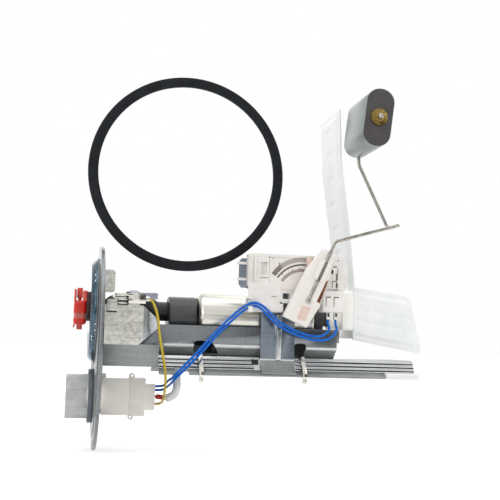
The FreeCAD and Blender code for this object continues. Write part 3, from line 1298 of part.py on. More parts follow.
# Strainer sock: a flat mesh bag folded at a right angle, one leg tall and one panel along the rail.
sock = newBody("strainer_sock")
sketch = newSketch(sock, "XZ_Plane", "sockNear - sockWidth")
legCourse = [("0", "sockFoot")]
for lean, height in ((0.0, 0.269), (0.273, 0.46), (0.888, 0.788), (1.0, 1.0)):
    legCourse.append((f"sockLean * {lean}", f"sockTop * {height}"))
legFront = [(f"sockAlong - {lean}", height) for lean, height in legCourse]
legBack = [(f"sockAlong - {lean} + sockThick", height) for lean, height in legCourse]
outline(sketch, legBack + legFront[::-1])
pad(sock, sketch, "sockWidth")
sketch = newSketch(sock, "XZ_Plane", "sockNear - sockThick")
panelStart = "sockAlong + panelLap"
outline(sketch, [
    (panelStart, "panelTop"),
    (f"{panelStart} + panelLength * 0.816", "panelTop * 0.889"),
    (f"{panelStart} + panelLength", "panelTop * 0.025"),
    (panelStart, "panelTop * 0.211"),
])
pad(sock, sketch, "sockThick")
panelMiddle = sizes["sockAlong"] + sizes["panelLap"] + sizes["panelLength"] / 2
roundEdges(sock, "panelRound", Vector(0, 1, 0), lambda middle: middle.x > panelMiddle)

# Tank seal: a flat ring, shown off the flange.
tankSeal = newBody("tank_seal")
sketch = newSketch(tankSeal, "XZ_Plane", "-sealThick / 2")
ring(sketch, "sealAlong", "sealHeight", "sealRadius")
ring(sketch, "sealAlong", "sealHeight", "sealRadius - sealBand")
pad(tankSeal, sketch, "sealThick")
roundRims(tankSeal, "sealRound")

# Wires: each is one tube along straight runs joined by arcs.
lead = sizes["leadRadius"]
wireRoutes = {
    "wire_yellow": (lead, [
        (30.4, -28.75, 35.6), (35.0, -28.75, 35.6), (37.0, -29.8, 31.4), (38.8, -31.2, 26.6),
        (40.0, -32.0, 20.6), (40.7, -32.2, 14.1), (42.0, -32.6, 5.6),
        (44.0, -33.6, -3.4), (45.7, -34.4, -12.1), (46.7, -34.0, -19.7), (47.2, -29.4, -26.7),
        (47.6, -21.0, -33.3), (47.8, -13.0, -37.8), (47.2, -8.0, -40.0), (45.0, -4.9, -41.0),
        (42.35, -4.9, -41.0),
    ]),
    "wire_red": (lead, [
        (42.35, -1.0, -35.8), (46.2, -1.0, -35.8), (51.2, -7.6, -36.6), (55.9, -11.6, -34.5),
        (58.0, -12.0, -28.8), (57.6, -11.0, -21.5), (56.8, -10.4, -14.0), (56.8, -10.4, -5.3),
    ]),
    "wire_blue_long": (lead, [
        (42.35, -1.5, -31.0), (46.6, -1.5, -31.0), (50.0, -5.6, -29.8), (50.8, -12.5, -27.6),
        (52.0, -21.6, -25.2), (53.8, -31.0, -21.0), (57.8, -34.6, -16.6), (64.6, -34.8, -9.6),
        (72.5, -33.6, -1.2), (80.4, -32.5, 7.9), (89.2, -31.5, 17.2), (97.9, -31.5, 25.8),
        (104.6, -33.6, 31.8), (109.8, -36.4, 34.1), (115.2, -36.8, 31.6), (121.9, -35.4, 25.0),
        (130.1, -34.2, 18.7), (140.7, -34.0, 13.9), (149.4, -34.0, 11.0), (157.6, -34.0, 9.4),
        (165.5, -33.8, 9.7), (171.8, -33.0, 13.0), (175.2, -31.4, 18.2), (174.5, -28.4, 21.8),
        (174.5, -28.4, 25.6),
    ]),
    "wire_blue_short": (lead, [
        (42.35, -4.4, -28.0), (45.8, -4.4, -28.0), (48.2, -8.0, -27.2), (49.0, -14.4, -25.6),
        (49.8, -22.6, -22.8), (52.3, -31.8, -20.2), (56.2, -35.0, -15.0), (63.0, -34.8, -7.9),
        (70.8, -33.5, 0.4), (78.8, -32.5, 9.6), (87.6, -31.5, 18.9), (96.3, -31.5, 27.6),
        (103.4, -33.6, 33.8), (109.8, -36.6, 36.4), (116.5, -36.9, 33.7), (123.4, -35.5, 27.1),
        (131.4, -34.3, 20.9), (141.7, -34.0, 16.1), (148.6, -34.0, 13.9), (155.6, -34.0, 12.4),
        (161.8, -33.8, 12.4), (166.9, -33.0, 15.4), (169.4, -31.4, 19.0), (168.4, -28.4, 22.2),
        (168.4, -28.4, 25.6),
    ]),
}
for label, (radius, route) in wireRoutes.items():
    radii = gentleRadii(route)
    path = roundedPath(route, radii)
    wire = rod(path, radius)
    expected = math.pi * radius ** 2 * path.Length
    print(label, "length", round(path.Length, 1), "smallest radius", round(min(radii), 1))
    print(label, "volume against its length and section", round(wire.Volume / expected, 4))
    keep(label, wire)

# Sleeve over the red wire, which leads it up behind the rail.
sleeveRoute = wireRoutes["wire_red"][1][2:]
sleevePath = roundedPath(sleeveRoute, gentleRadii(sleeveRoute))
sleeve = rod(sleevePath, 3.2)
keep("wire_sleeve", sleeve.cut(nodes["wire_red"].Shape))

doc.recompute()

broken = [thing.Label for thing in doc.Objects if "Invalid" in thing.State or "Error" in thing.State]
for label, thing in nodes.items():
    if thing.Shape.isNull() or not thing.Shape.isValid() or thing.Shape.Volume <= 0:
        broken.append(label)
if broken:
    raise RuntimeError("broken: " + ", ".join(sorted(set(broken))))

os.makedirs("parts", exist_ok=True)
for label, thing in nodes.items():
    thing.Shape.exportStep(f"parts/{label}.step")
print(len(nodes), "sub-parts written")
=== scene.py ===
import json
import math

import bpy
from mathutils import Matrix, Vector, noise


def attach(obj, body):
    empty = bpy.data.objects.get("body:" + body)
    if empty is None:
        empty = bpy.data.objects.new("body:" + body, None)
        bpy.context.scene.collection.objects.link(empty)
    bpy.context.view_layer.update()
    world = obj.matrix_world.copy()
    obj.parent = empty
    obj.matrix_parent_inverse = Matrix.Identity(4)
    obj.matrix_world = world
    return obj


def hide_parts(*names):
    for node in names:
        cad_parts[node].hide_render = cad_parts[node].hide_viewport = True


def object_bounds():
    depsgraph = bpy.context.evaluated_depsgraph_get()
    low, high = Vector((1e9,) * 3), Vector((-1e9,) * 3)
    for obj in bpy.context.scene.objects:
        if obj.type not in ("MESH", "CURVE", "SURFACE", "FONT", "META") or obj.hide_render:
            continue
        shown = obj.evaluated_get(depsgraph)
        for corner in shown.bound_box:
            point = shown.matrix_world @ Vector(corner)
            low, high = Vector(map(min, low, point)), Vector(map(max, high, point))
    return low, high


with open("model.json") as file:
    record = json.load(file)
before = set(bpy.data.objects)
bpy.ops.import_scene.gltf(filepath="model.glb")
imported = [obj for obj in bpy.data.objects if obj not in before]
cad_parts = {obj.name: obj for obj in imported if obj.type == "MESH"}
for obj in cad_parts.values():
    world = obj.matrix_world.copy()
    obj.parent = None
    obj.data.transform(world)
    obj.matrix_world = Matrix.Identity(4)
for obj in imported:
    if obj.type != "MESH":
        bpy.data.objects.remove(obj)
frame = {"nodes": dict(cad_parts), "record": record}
cadBox = [list(corner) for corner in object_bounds()]
cadNodes = frame["nodes"]
slotOf = {part["node"]: part["material_slot"] for part in frame["record"]["subparts"]}
bodyOf = {node: body for body, members in frame["record"]["behaviour"]["bodies"].items() for node in members}
print("frame loaded:", len(cadNodes), "nodes")


# Small helpers. Places are given in millimetres and turned into metres here.

def mm(*place):
    return Vector(place) / 1000


def selectMesh(how="SELECT"):
    bpy.ops.mesh.select_all(action=how)


def clearSelection():
    bpy.ops.object.select_all(action="DESELECT")


def faceOutwards():
    bpy.ops.mesh.normals_make_consistent(inside=False)


def selectOnly(piece):
    if bpy.context.object and bpy.context.object.mode != "OBJECT":
        bpy.ops.object.mode_set(mode="OBJECT")
    clearSelection()
    piece.select_set(True)
    bpy.context.view_layer.objects.active = piece


def editAll(piece):
    selectOnly(piece)
    bpy.ops.object.mode_set(mode="EDIT")
    bpy.ops.mesh.select_mode(type="FACE")
    selectMesh()


def editFaces(piece, wanted):
    # edit mode with only the faces selected whose centre and normal suit
    editAll(piece)
    selectMesh("DESELECT")
    bpy.ops.object.mode_set(mode="OBJECT")
    for face in piece.data.polygons:
        face.select = wanted(face.center * 1000, face.normal)
    bpy.ops.object.mode_set(mode="EDIT")


def objectMode():
    bpy.ops.object.mode_set(mode="OBJECT")


def applyAll(piece):
    selectOnly(piece)
    for modifier in list(piece.modifiers):
        bpy.ops.object.modifier_apply(modifier=modifier.name)


def settle(piece):
    # the place goes into the mesh, and the object back to the origin
    selectOnly(piece)
    bpy.ops.object.transform_apply(location=True, rotation=True, scale=True)
    return piece


def smooth(piece, limit=32):
    selectOnly(piece)
    bpy.ops.object.shade_smooth_by_angle(angle=math.radians(limit))


def bevelEdges(piece, width, steps, limit):
    bevel = piece.modifiers.new("edges", "BEVEL")
    bevel.width = width / 1000
    bevel.segments = steps
    bevel.limit_method = "ANGLE"
    bevel.angle_limit = math.radians(limit)
    bevel.use_clamp_overlap = True
    applyAll(piece)


def softenEdges(piece, width, steps=2, limit=35):
    bevelEdges(piece, width, steps, limit)
    smooth(piece)


def block(name, low, high):
    clearSelection()
    size = mm(*high) - mm(*low)
    bpy.ops.mesh.primitive_cube_add(size=1, location=(mm(*low) + mm(*high)) / 2, scale=size)
    bpy.context.object.name = name
    return settle(bpy.context.object)


turns = {"X": (0, math.pi / 2, 0), "Y": (math.pi / 2, 0, 0)}


def drum(name, centre, radius, depth, axis="Y", sides=40):
    clearSelection()
    bpy.ops.mesh.primitive_cylinder_add(vertices=sides, radius=radius / 1000, depth=depth / 1000,
                                        location=mm(*centre), rotation=turns[axis])
    bpy.context.object.name = name
    return settle(bpy.context.object)


def bars(spans, front, back):
    # a block for each span of X and Z
    return [block("bar", (x0, front, z0), (x1, back, z1)) for x0, z0, x1, z1 in spans]


def dots(places, front, radius, depth):
    return [drum("dot", (x, front, z), radius, depth, "Y", 12) for x, z in places]


def ball(name, centre, radius, segments):
    clearSelection()
    bpy.ops.mesh.primitive_uv_sphere_add(segments=segments, ring_count=segments // 2,
                                         radius=radius / 1000, location=mm(*centre))
    bpy.context.object.name = name
    return settle(bpy.context.object)


def plateOf(name, corners, front, thick):
    # a flat plate in the XZ plane: its corners, its front's Y and its thickness toward the back
    clearSelection()
    bpy.ops.mesh.primitive_circle_add(vertices=len(corners), radius=0.01, fill_type="NGON")
    plate = bpy.context.object
    plate.name = name
    for corner, (x, z) in zip(plate.data.vertices, corners):
        corner.co = mm(x, front, z)
    editAll(plate)
    faceOutwards()
    bpy.ops.mesh.extrude_region_move(TRANSFORM_OT_translate={"value": mm(0, thick, 0)})
    selectMesh()
    faceOutwards()
    objectMode()
    return settle(plate)


def joinAll(name, pieces):
    selectOnly(pieces[0])
    for piece in pieces[1:]:
        piece.select_set(True)
    bpy.ops.object.join()
    pieces[0].name = name
    return pieces[0]


def carve(piece, tool, operation="DIFFERENCE"):
    cut = piece.modifiers.new("cut", "BOOLEAN")
    cut.operation = operation
    cut.object = tool
    cut.solver = "EXACT"
    applyAll(piece)
    bpy.data.objects.remove(tool, do_unlink=True)
    return piece


def workCopy(node, name):
    # a merged copy of a CAD node's mesh, ready to be finished
    piece = bpy.data.objects.new(name, cadNodes[node].data.copy())
    bpy.context.scene.collection.objects.link(piece)
    editAll(piece)
    bpy.ops.mesh.remove_doubles(threshold=0.000002)
    bpy.ops.mesh.dissolve_limited(angle_limit=math.radians(0.6))
    objectMode()
    return piece


def dress(piece, finish):
    piece.data.materials.clear()
    piece.data.materials.append(finishes[finish])


def coverFaces(piece, finish, wanted):
    # a second finish on the faces whose centre and normal suit
    piece.data.materials.append(finishes[finish])
    last = len(piece.data.materials) - 1
    for face in piece.data.polygons:
        if wanted(face.center * 1000, face.normal):
            face.material_index = last


def hand(piece, body, slot, stoodFor=()):
    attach(piece, body)
    if stoodFor:
        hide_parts(*stoodFor)


def present(piece, finish, body, slot):
    dress(piece, finish)
    hand(piece, body, slot)


def standFor(piece, node):
    hand(piece, bodyOf[node], slotOf[node], (node,))


# Camera, lamps, room and floor.

viewSettings = {
    "place": (-0.0261, -0.6697, 0.0081),
    "right": (0.9782, -0.2059, 0.0289),
    "up": (-0.0492, -0.0941, 0.9944),
    "lens": 63.36,
}


def placeCamera(s):
    right = Vector(s["right"]).normalized()
    back = right.cross(Vector(s["up"])).normalized()
    up = back.cross(right)
    turn = Matrix((right, up, back)).transposed()
    bpy.ops.object.camera_add(location=s["place"], rotation=turn.to_euler())
    camera = bpy.context.object
    camera.name = "photoCamera"
    camera.data.lens = s["lens"]
    camera.data.sensor_width = 36
    camera.data.clip_start = 0.01
    camera.data.clip_end = 50
    bpy.context.scene.camera = camera


placeCamera(viewSettings)
bpy.context.scene.view_settings.view_transform = "Standard"

lampSettings = {
    "topSoftbox": {"place": (0.05, 0.05, 1.0), "aim": (0.08, 0.0, 0.04), "size": (1.3, 0.9), "power": 4.2},
    "frontLeft": {"place": (-0.85, -0.85, 0.55), "aim": (0.08, 0.0, 0.04), "size": (0.8, 0.8), "power": 3.6},
    "frontRight": {"place": (0.95, -0.75, 0.35), "aim": (0.08, 0.0, 0.04), "size": (0.7, 0.9), "power": 2.2},
    "backFill": {"place": (0.1, 1.0, 0.35), "aim": (0.08, 0.0, 0.04), "size": (0.9, 0.7), "power": 1.6},
}


def aimed(place, aim, track):
    return (Vector(aim) - Vector(place)).to_track_quat(track, "Y").to_euler()


def placeLamps(s):
    for name, lamp in s.items():
        turn = aimed(lamp["place"], lamp["aim"], "-Z")
        bpy.ops.object.light_add(type="AREA", location=lamp["place"], rotation=turn)
        light = bpy.context.object
        light.name = name
        light.data.shape = "RECTANGLE"
        light.data.size, light.data.size_y = lamp["size"]
        light.data.energy = lamp["power"]


placeLamps(lampSettings)

roomSettings = {
    "sky": 0.82,
    "horizon": 0.42,
    "ground": 0.26,
    "background": 1.0,
}


def setInputs(node, values):
    for label, value in values.items():
        node.inputs[label].default_value = value
    return node


def addNode(tree, kind, values=None):
    return setInputs(tree.nodes.new("ShaderNode" + kind), values or {})


def newMaterial(name, values):
    material = bpy.data.materials.new(name)
    material.use_nodes = True
    tree = material.node_tree
    return material, tree, setInputs(tree.nodes["Principled BSDF"], values)


def calculate(tree, operation, first, second):
    result = addNode(tree, "Math")
    result.operation = operation
    tree.links.new(first, result.inputs[0])
    tree.links.new(second, result.inputs[1])
    return result.outputs["Value"]


def seenRays(tree):
    # 1 for rays from the camera, through glass and off shiny surfaces
    path = addNode(tree, "LightPath").outputs
    either = calculate(tree, "MAXIMUM", path["Is Camera Ray"], path["Is Transmission Ray"])
    return calculate(tree, "MAXIMUM", either, path["Is Glossy Ray"])


def grey(shade):
    return (shade, shade, shade, 1)


def makeRoom(s):
    world = bpy.data.worlds.new("studioRoom")
    bpy.context.scene.world = world
    world.use_nodes = True
    tree = world.node_tree
    tree.nodes.clear()
    link = tree.links.new
    output = addNode(tree, "OutputWorld")
    mix = addNode(tree, "MixShader")
    seen = addNode(tree, "Background", {"Color": grey(1), "Strength": s["background"]})
    lit = addNode(tree, "Background")
    direction = addNode(tree, "TexCoord")
    split = addNode(tree, "SeparateXYZ")
    half = addNode(tree, "MapRange", {"From Min": -1, "From Max": 1})
    ramp = addNode(tree, "ValToRGB")
    stops = ramp.color_ramp.elements
    stops.new(0.5)
    for stop, shade in zip(stops, (s["ground"], s["horizon"], s["sky"])):
        stop.color = grey(shade)
    link(direction.outputs["Generated"], split.inputs["Vector"])
    link(split.outputs["Z"], half.inputs["Value"])
    link(half.outputs["Result"], ramp.inputs["Fac"])
    link(ramp.outputs["Color"], lit.inputs["Color"])
    link(seenRays(tree), mix.inputs["Fac"])
    link(lit.outputs["Background"], mix.inputs[1])
    link(seen.outputs["Background"], mix.inputs[2])
    link(mix.outputs["Shader"], output.inputs["Surface"])


makeRoom(roomSettings)

floorSettings = {"size": 14.0, "drop": 0.0004, "shade": 0.86, "lift": 0.5}


def makeFloor(s):
    lowest = cadBox[0][2]
    bpy.ops.mesh.primitive_plane_add(size=s["size"], location=(0.1, 0, lowest - s["drop"]))
    floor = bpy.context.object
    floor.name = "floor"
    paper, tree, shader = newMaterial("paleFloor", {
        "Base Color": grey(s["shade"]), "Roughness": 0.9,
        "Specular IOR Level": 0.0, "Emission Strength": s["lift"]})
    tree.links.new(seenRays(tree), shader.inputs["Emission Color"])
    floor.data.materials.append(paper)


makeFloor(floorSettings)

# Two dark cards out of the picture, which only shiny surfaces show, as beside a product on a table.
cardSettings = {
    "frontCard": {"place": (0.62, -0.95, 0.05), "aim": (0.1, 0.0, 0.02), "size": (0.75, 0.9), "shade": 0.05},
    "lowCard": {"place": (-0.35, -0.62, -0.045), "aim": (0.0, 0.0, 0.03), "size": (0.7, 0.12), "shade": 0.08},
}


def placeCards(s):
    for name, card in s.items():
        turn = aimed(card["place"], card["aim"], "Z")
        bpy.ops.mesh.primitive_plane_add(size=1, location=card["place"], rotation=turn)
        piece = bpy.context.object
        piece.name = name
        piece.scale = card["size"] + (1,)
        dark, *_ = newMaterial(name + "Black", {"Base Color": grey(card["shade"]), "Roughness": 1.0})
        piece.data.materials.append(dark)
        piece.visible_camera = False
        piece.visible_diffuse = False
        piece.visible_shadow = False
        piece.visible_transmission = False


placeCards(cardSettings)
print("camera, lamps, room, floor and cards placed")


# Shared effects, each one node group that several finishes use with their own values.

def startGroup(name, values):
    tree = bpy.data.node_groups.new(name, "ShaderNodeTree")
    newSocket = tree.interface.new_socket
    newSocket(name="Vector", in_out="INPUT", socket_type="NodeSocketVector")
    for label, start in values.items():
        newSocket(name=label, in_out="INPUT", socket_type="NodeSocketFloat").default_value = start
    for label in ("Shade", "Wear", "Height"):
        newSocket(name=label, in_out="OUTPUT", socket_type="NodeSocketFloat")
    return tree, tree.nodes.new("NodeGroupInput").outputs, tree.nodes.new("NodeGroupOutput").inputs


def finishGroup(tree, result, shade, wear, height):
    for label, source in (("Shade", shade), ("Wear", wear), ("Height", height)):
        tree.links.new(source, result[label])
    return tree


def addNoise(tree, vector, scale, detail, roughness=0.5, distortion=0.0):
    cloud = addNode(tree, "TexNoise", {"Detail": detail, "Roughness": roughness, "Distortion": distortion})
    tree.links.new(vector, cloud.inputs["Vector"])
    tree.links.new(scale, cloud.inputs["Scale"])
    return cloud.outputs["Fac"]


def blend(tree, first, share, second):
    # first times share, plus second times what is left
    rest = addNode(tree, "Math", {1: 1 - share})
    rest.operation = "MULTIPLY"
    tree.links.new(second, rest.inputs[0])
    total = addNode(tree, "Math", {1: share})
    total.operation = "MULTIPLY_ADD"
    tree.links.new(first, total.inputs[0])
    tree.links.new(rest.outputs["Value"], total.inputs[2])
    return total.outputs["Value"]


def sharpen(tree, source, low, high):
    span = addNode(tree, "MapRange", {"From Min": low, "From Max": high})
    tree.links.new(source, span.inputs["Value"])
    return span.outputs["Result"]


def plateGrainGroup():
    # plated sheet: lengthwise rolling lines, slow cloudy patches and fine spangle
    tree, given, result = startGroup("plateGrain", {"Lines": 900.0, "Patches": 60.0, "Spangle": 420.0})
    stretch = addNode(tree, "Mapping", {"Scale": (0.04, 1.0, 1.0)})
    tree.links.new(given["Vector"], stretch.inputs["Vector"])
    lines = addNoise(tree, stretch.outputs["Vector"], given["Lines"], 3.0)
    patches = addNoise(tree, given["Vector"], given["Patches"], 5.0, 0.62)
    spangle = addNoise(tree, given["Vector"], given["Spangle"], 3.0, 0.6)
    shade = blend(tree, blend(tree, spangle, 0.5, patches), 0.75, lines)
    return finishGroup(tree, result, sharpen(tree, shade, 0.34, 0.66), sharpen(tree, patches, 0.4, 0.65),
                       blend(tree, lines, 0.5, spangle))


def mouldSkinGroup():
    # moulded plastic or rubber: fine spark texture and slow flow marks
    tree, given, result = startGroup("mouldSkin", {"Skin": 1500.0, "Flow": 45.0})
    skin = addNoise(tree, given["Vector"], given["Skin"], 2.0)
    wear = sharpen(tree, addNoise(tree, given["Vector"], given["Flow"], 4.0, 0.5, 0.8), 0.35, 0.7)
    return finishGroup(tree, result, blend(tree, skin, 0.3, wear), wear, skin)


def meshWeaveGroup():
    # woven mesh: two sets of fine threads that cross, with faint clouding
    tree, given, result = startGroup("meshWeave", {"Threads": 2400.0, "Cloud": 30.0})
    waves = []
    for direction in ("Y", "Z"):
        wave = addNode(tree, "TexWave", {"Distortion": 0.3})
        wave.bands_direction = direction
        tree.links.new(given["Vector"], wave.inputs["Vector"])
        tree.links.new(given["Threads"], wave.inputs["Scale"])
        waves.append(wave.outputs["Fac"])
    higher = calculate(tree, "MAXIMUM", *waves)
    cloud = addNoise(tree, given["Vector"], given["Cloud"], 4.0)
    return finishGroup(tree, result, blend(tree, higher, 0.2, sharpen(tree, cloud, 0.3, 0.7)), cloud, higher)


effects = {"plateGrain": plateGrainGroup(), "mouldSkin": mouldSkinGroup(), "meshWeave": meshWeaveGroup()}
print("shared effects ready")


# Finishes. A colour is given as it looks on screen, 0 to 255.

def paint(red, green, blue):
    # screen values turned into linear light
    linear = [((c / 255 + 0.055) / 1.055) ** 2.4 if c > 10 else c / 3294.6 for c in (red, green, blue)]
    return tuple(linear) + (1.0,)


def colours(dark, light, rough, bump):
    return {"dark": paint(*dark), "light": paint(*light), "rough": rough, "bump": bump}


def sheetMetal(dark, light, metal, rough, bump, lines, patches, spangle):
    values = {"Lines": lines, "Patches": patches, "Spangle": spangle}
    return {**colours(dark, light, rough, bump), "effect": "plateGrain", "metal": metal, "values": values}


def moulding(dark, light, rough, bump, skin, flow, metal=0.0, **more):
    values = {"Skin": skin, "Flow": flow}
    return {**colours(dark, light, rough, bump), "effect": "mouldSkin", "metal": metal, "values": values, **more}


def netting(dark, light, rough, bump, threads, cloud, **more):
    values = {"Threads": threads, "Cloud": cloud}
    return {**colours(dark, light, rough, bump), "effect": "meshWeave", "metal": 0.0, "values": values, **more}


# Each row's numbers are named by the function that it calls.
finishSettings = {
    "flangePlate": sheetMetal((74, 77, 80), (112, 115, 116), 1.0, (0.26, 0.38), 0.02, 1300, 40, 700),
    # flangeRim: a lighter copy of the flange steel, a painted highlight on the rim faces and the cap's lip ring
    "flangeRim": sheetMetal((102, 105, 108), (138, 140, 141), 1.0, (0.24, 0.34), 0.02, 1300, 60, 900),
    "blueSteel": sheetMetal((40, 55, 66), (98, 120, 134), 1.0, (0.16, 0.26), 0.04, 900, 34, 500),
    "paleZinc": sheetMetal((166, 165, 157), (238, 237, 230), 0.9, (0.4, 0.55), 0.08, 900, 330, 1200),
    "rolledZinc": sheetMetal((112, 116, 119), (132, 136, 139), 1.0, (0.26, 0.36), 0.03, 800, 36, 620),
    # railZinc: the rail's zinc in the pale tone its up-facing beads take in the light, and a painted highlight on
    # the strap's bead
    "railZinc": sheetMetal((186, 188, 188), (204, 206, 204), 1.0, (0.22, 0.28), 0.0, 900, 30, 700),
    "strapZinc": sheetMetal((104, 112, 122), (132, 140, 149), 1.0, (0.24, 0.36), 0.03, 700, 44, 560),
    # facetShadeZinc: a darker copy of the hanger's zinc on its bent facet, painted shade where the facet turns
    # away
    "facetShadeZinc": sheetMetal((128, 132, 138), (176, 179, 183), 1.0, (0.22, 0.34), 0.03, 600, 50, 500),
    # slopeShadeZinc: matte grey zinc in the tone that the lower, down-facing sloped faces take in shade: painted
    # shade
    "slopeShadeZinc": sheetMetal((126, 132, 131), (164, 169, 167), 0.5, (0.4, 0.55), 0.06, 700, 60, 800),
    # foldHighlightZinc: near-white zinc, a painted highlight along the bends of the cradle wall and the strap
    "foldHighlightZinc": sheetMetal((206, 208, 207), (236, 237, 235), 0.3, (0.3, 0.4), 0.03, 700, 60, 800),
    # shadowZinc: near-black zinc, painted shade inside the trough, under the rail's beads and in the dark lines on
    # the terminal and hanger
    "shadowZinc": sheetMetal((34, 37, 40), (56, 60, 63), 0.8, (0.3, 0.45), 0.03, 700, 60, 800),
    "brightSteel": sheetMetal((178, 176, 168), (232, 230, 222), 1.0, (0.12, 0.24), 0.04, 1600, 160, 900),
    "clampSteel": sheetMetal((150, 150, 162), (180, 180, 192), 0.7, (0.42, 0.55), 0.06, 1200, 120, 700),
    "pumpSteel": sheetMetal((204, 202, 192), (214, 212, 203), 1.0, (0.28, 0.33), 0.0, 1500, 25, 900),
    "brightWire": sheetMetal((122, 118, 112), (186, 182, 175), 1.0, (0.2, 0.3), 0.0, 2200, 200, 1200),
    "nutBrass": sheetMetal((118, 98, 50), (152, 130, 76), 1.0, (0.26, 0.4), 0.06, 2400, 240, 1400),
    "pinBrass": sheetMetal((160, 134, 70), (206, 180, 104), 1.0, (0.2, 0.32), 0.04, 2400, 240, 1400),
    "copperStrip": sheetMetal((134, 84, 52), (190, 132, 94), 1.0, (0.24, 0.36), 0.06, 2400, 300, 1400),
    "ferrite": sheetMetal((52, 52, 54), (74, 74, 76), 0.2, (0.55, 0.7), 0.2, 300, 90, 900),
    "blackRubber": moulding((22, 23, 25), (40, 41, 43), (0.4, 0.55), 0.1, 1100, 40),
    "sealRubber": moulding((20, 23, 26), (34, 37, 41), (0.44, 0.56), 0.08, 1100, 60, gloss=0.15),
    "bootRubber": moulding((52, 53, 55), (76, 77, 79), (0.34, 0.46), 0.08, 1400, 60),
    "slateRubber": moulding((92, 97, 106), (120, 125, 134), (0.4, 0.52), 0.08, 1300, 60),
    "darkRubber": moulding((34, 24, 22), (58, 44, 40), (0.4, 0.55), 0.1, 1300, 60),
    "blackPlastic": moulding((26, 26, 28), (44, 44, 46), (0.35, 0.5), 0.1, 1600, 50),
    "capRed": moulding((206, 26, 12), (228, 44, 26), (0.26, 0.38), 0.05, 1500, 110),
    # capRedSheenBand: a paler copy of the cap's red on its inset band, a painted sheen
    "capRedSheenBand": moulding((190, 84, 74), (206, 108, 98), (0.3, 0.42), 0.05, 1500, 110),
    # capRedHighlight: a paler copy of the cap's red on the latch top and the nub, a painted highlight
    "capRedHighlight": moulding((222, 60, 42), (236, 104, 86), (0.26, 0.38), 0.05, 1500, 110),
    # glow: emission in the light colour, painted light that brightens these pale and clear plastics and the sock
    "milkyShell": moulding((192, 194, 194), (212, 213, 212), (0.24, 0.36), 0.04, 900, 120, lift=0.03),
    "creamNylon": moulding((236, 231, 222), (246, 243, 236), (0.3, 0.42), 0.05, 1100, 130, lift=0.07),
    # neckNylon: paler than creamNylon and glowing more, painted light over the neck's shade under the sender
    "neckNylon": moulding((246, 244, 236), (252, 251, 246), (0.3, 0.42), 0.05, 1100, 130, lift=0.12),
    "footNylon": moulding((238, 237, 234), (248, 247, 245), (0.34, 0.48), 0.06, 1300, 90),
    "senderWhite": moulding((230, 226, 220), (242, 240, 236), (0.26, 0.38), 0.04, 1500, 70, lift=0.02),
    "wiperWhite": moulding((238, 232, 225), (248, 244, 240), (0.28, 0.4), 0.04, 1500, 70),
    "wiperSalmon": moulding((226, 198, 182), (236, 214, 200), (0.3, 0.42), 0.04, 1500, 200),
    "cardCeramic": moulding((232, 226, 218), (242, 238, 232), (0.36, 0.46), 0.03, 2200, 80),
    "trackBrown": moulding((158, 148, 140), (182, 173, 164), (0.4, 0.5), 0.06, 2600, 200),
    "trackEnd": moulding((112, 104, 98), (138, 130, 124), (0.4, 0.5), 0.06, 2600, 200),
    "trackMauve": moulding((150, 136, 130), (174, 160, 154), (0.4, 0.5), 0.06, 2600, 200),
    "trackBlack": moulding((28, 26, 25), (52, 46, 42), (0.4, 0.5), 0.06, 2600, 300),
    "brushCarbon": moulding((40, 40, 42), (64, 64, 66), (0.5, 0.7), 0.15, 1800, 200),
    "foamSide": moulding((104, 112, 110), (130, 138, 135), (0.3, 0.38), 0.05, 1300, 50, metal=0.7),
    "foamEnd": moulding((58, 55, 54), (74, 71, 69), (0.5, 0.62), 0.14, 1300, 80),
    "sockMesh": netting((238, 241, 241), (250, 252, 251), (0.42, 0.55), 0.1, 900, 40, lift=0.02),
    "yellowSkin": moulding((196, 168, 34), (216, 192, 60), (0.3, 0.42), 0.05, 900, 120),
    "redSkin": moulding((186, 40, 32), (212, 64, 50), (0.3, 0.42), 0.05, 900, 120),
    "blueSkin": moulding((0, 90, 190), (14, 116, 214), (0.28, 0.4), 0.05, 900, 120, gloss=0.25),
    "sleeveClear": moulding((222, 224, 223), (240, 241, 240), (0.2, 0.32), 0.05, 700, 160, lift=0.05),
}

finishOfSlot = {
    "flange_steel": "flangePlate", "zinc_sheet": "rolledZinc", "tube_steel": "brightSteel",
    "clamp_steel": "clampSteel", "pump_steel": "pumpSteel", "bright_wire": "brightWire",
    "brass": "pinBrass", "copper": "copperStrip", "magnet": "ferrite",
    "black_rubber": "blackRubber", "grey_rubber": "bootRubber", "slate_rubber": "slateRubber",
    "black_plastic": "blackPlastic", "red_plastic": "capRed", "clear_plastic": "milkyShell",
    "natural_nylon": "creamNylon", "white_nylon": "footNylon", "white_acetal": "senderWhite",
    "ceramic": "cardCeramic", "track_ink": "trackBrown", "carbon": "brushCarbon",
    "foam": "foamSide", "mesh": "sockMesh", "yellow_wire": "yellowSkin",
    "red_wire": "redSkin", "blue_wire": "blueSkin", "clear_sleeve": "sleeveClear",
}


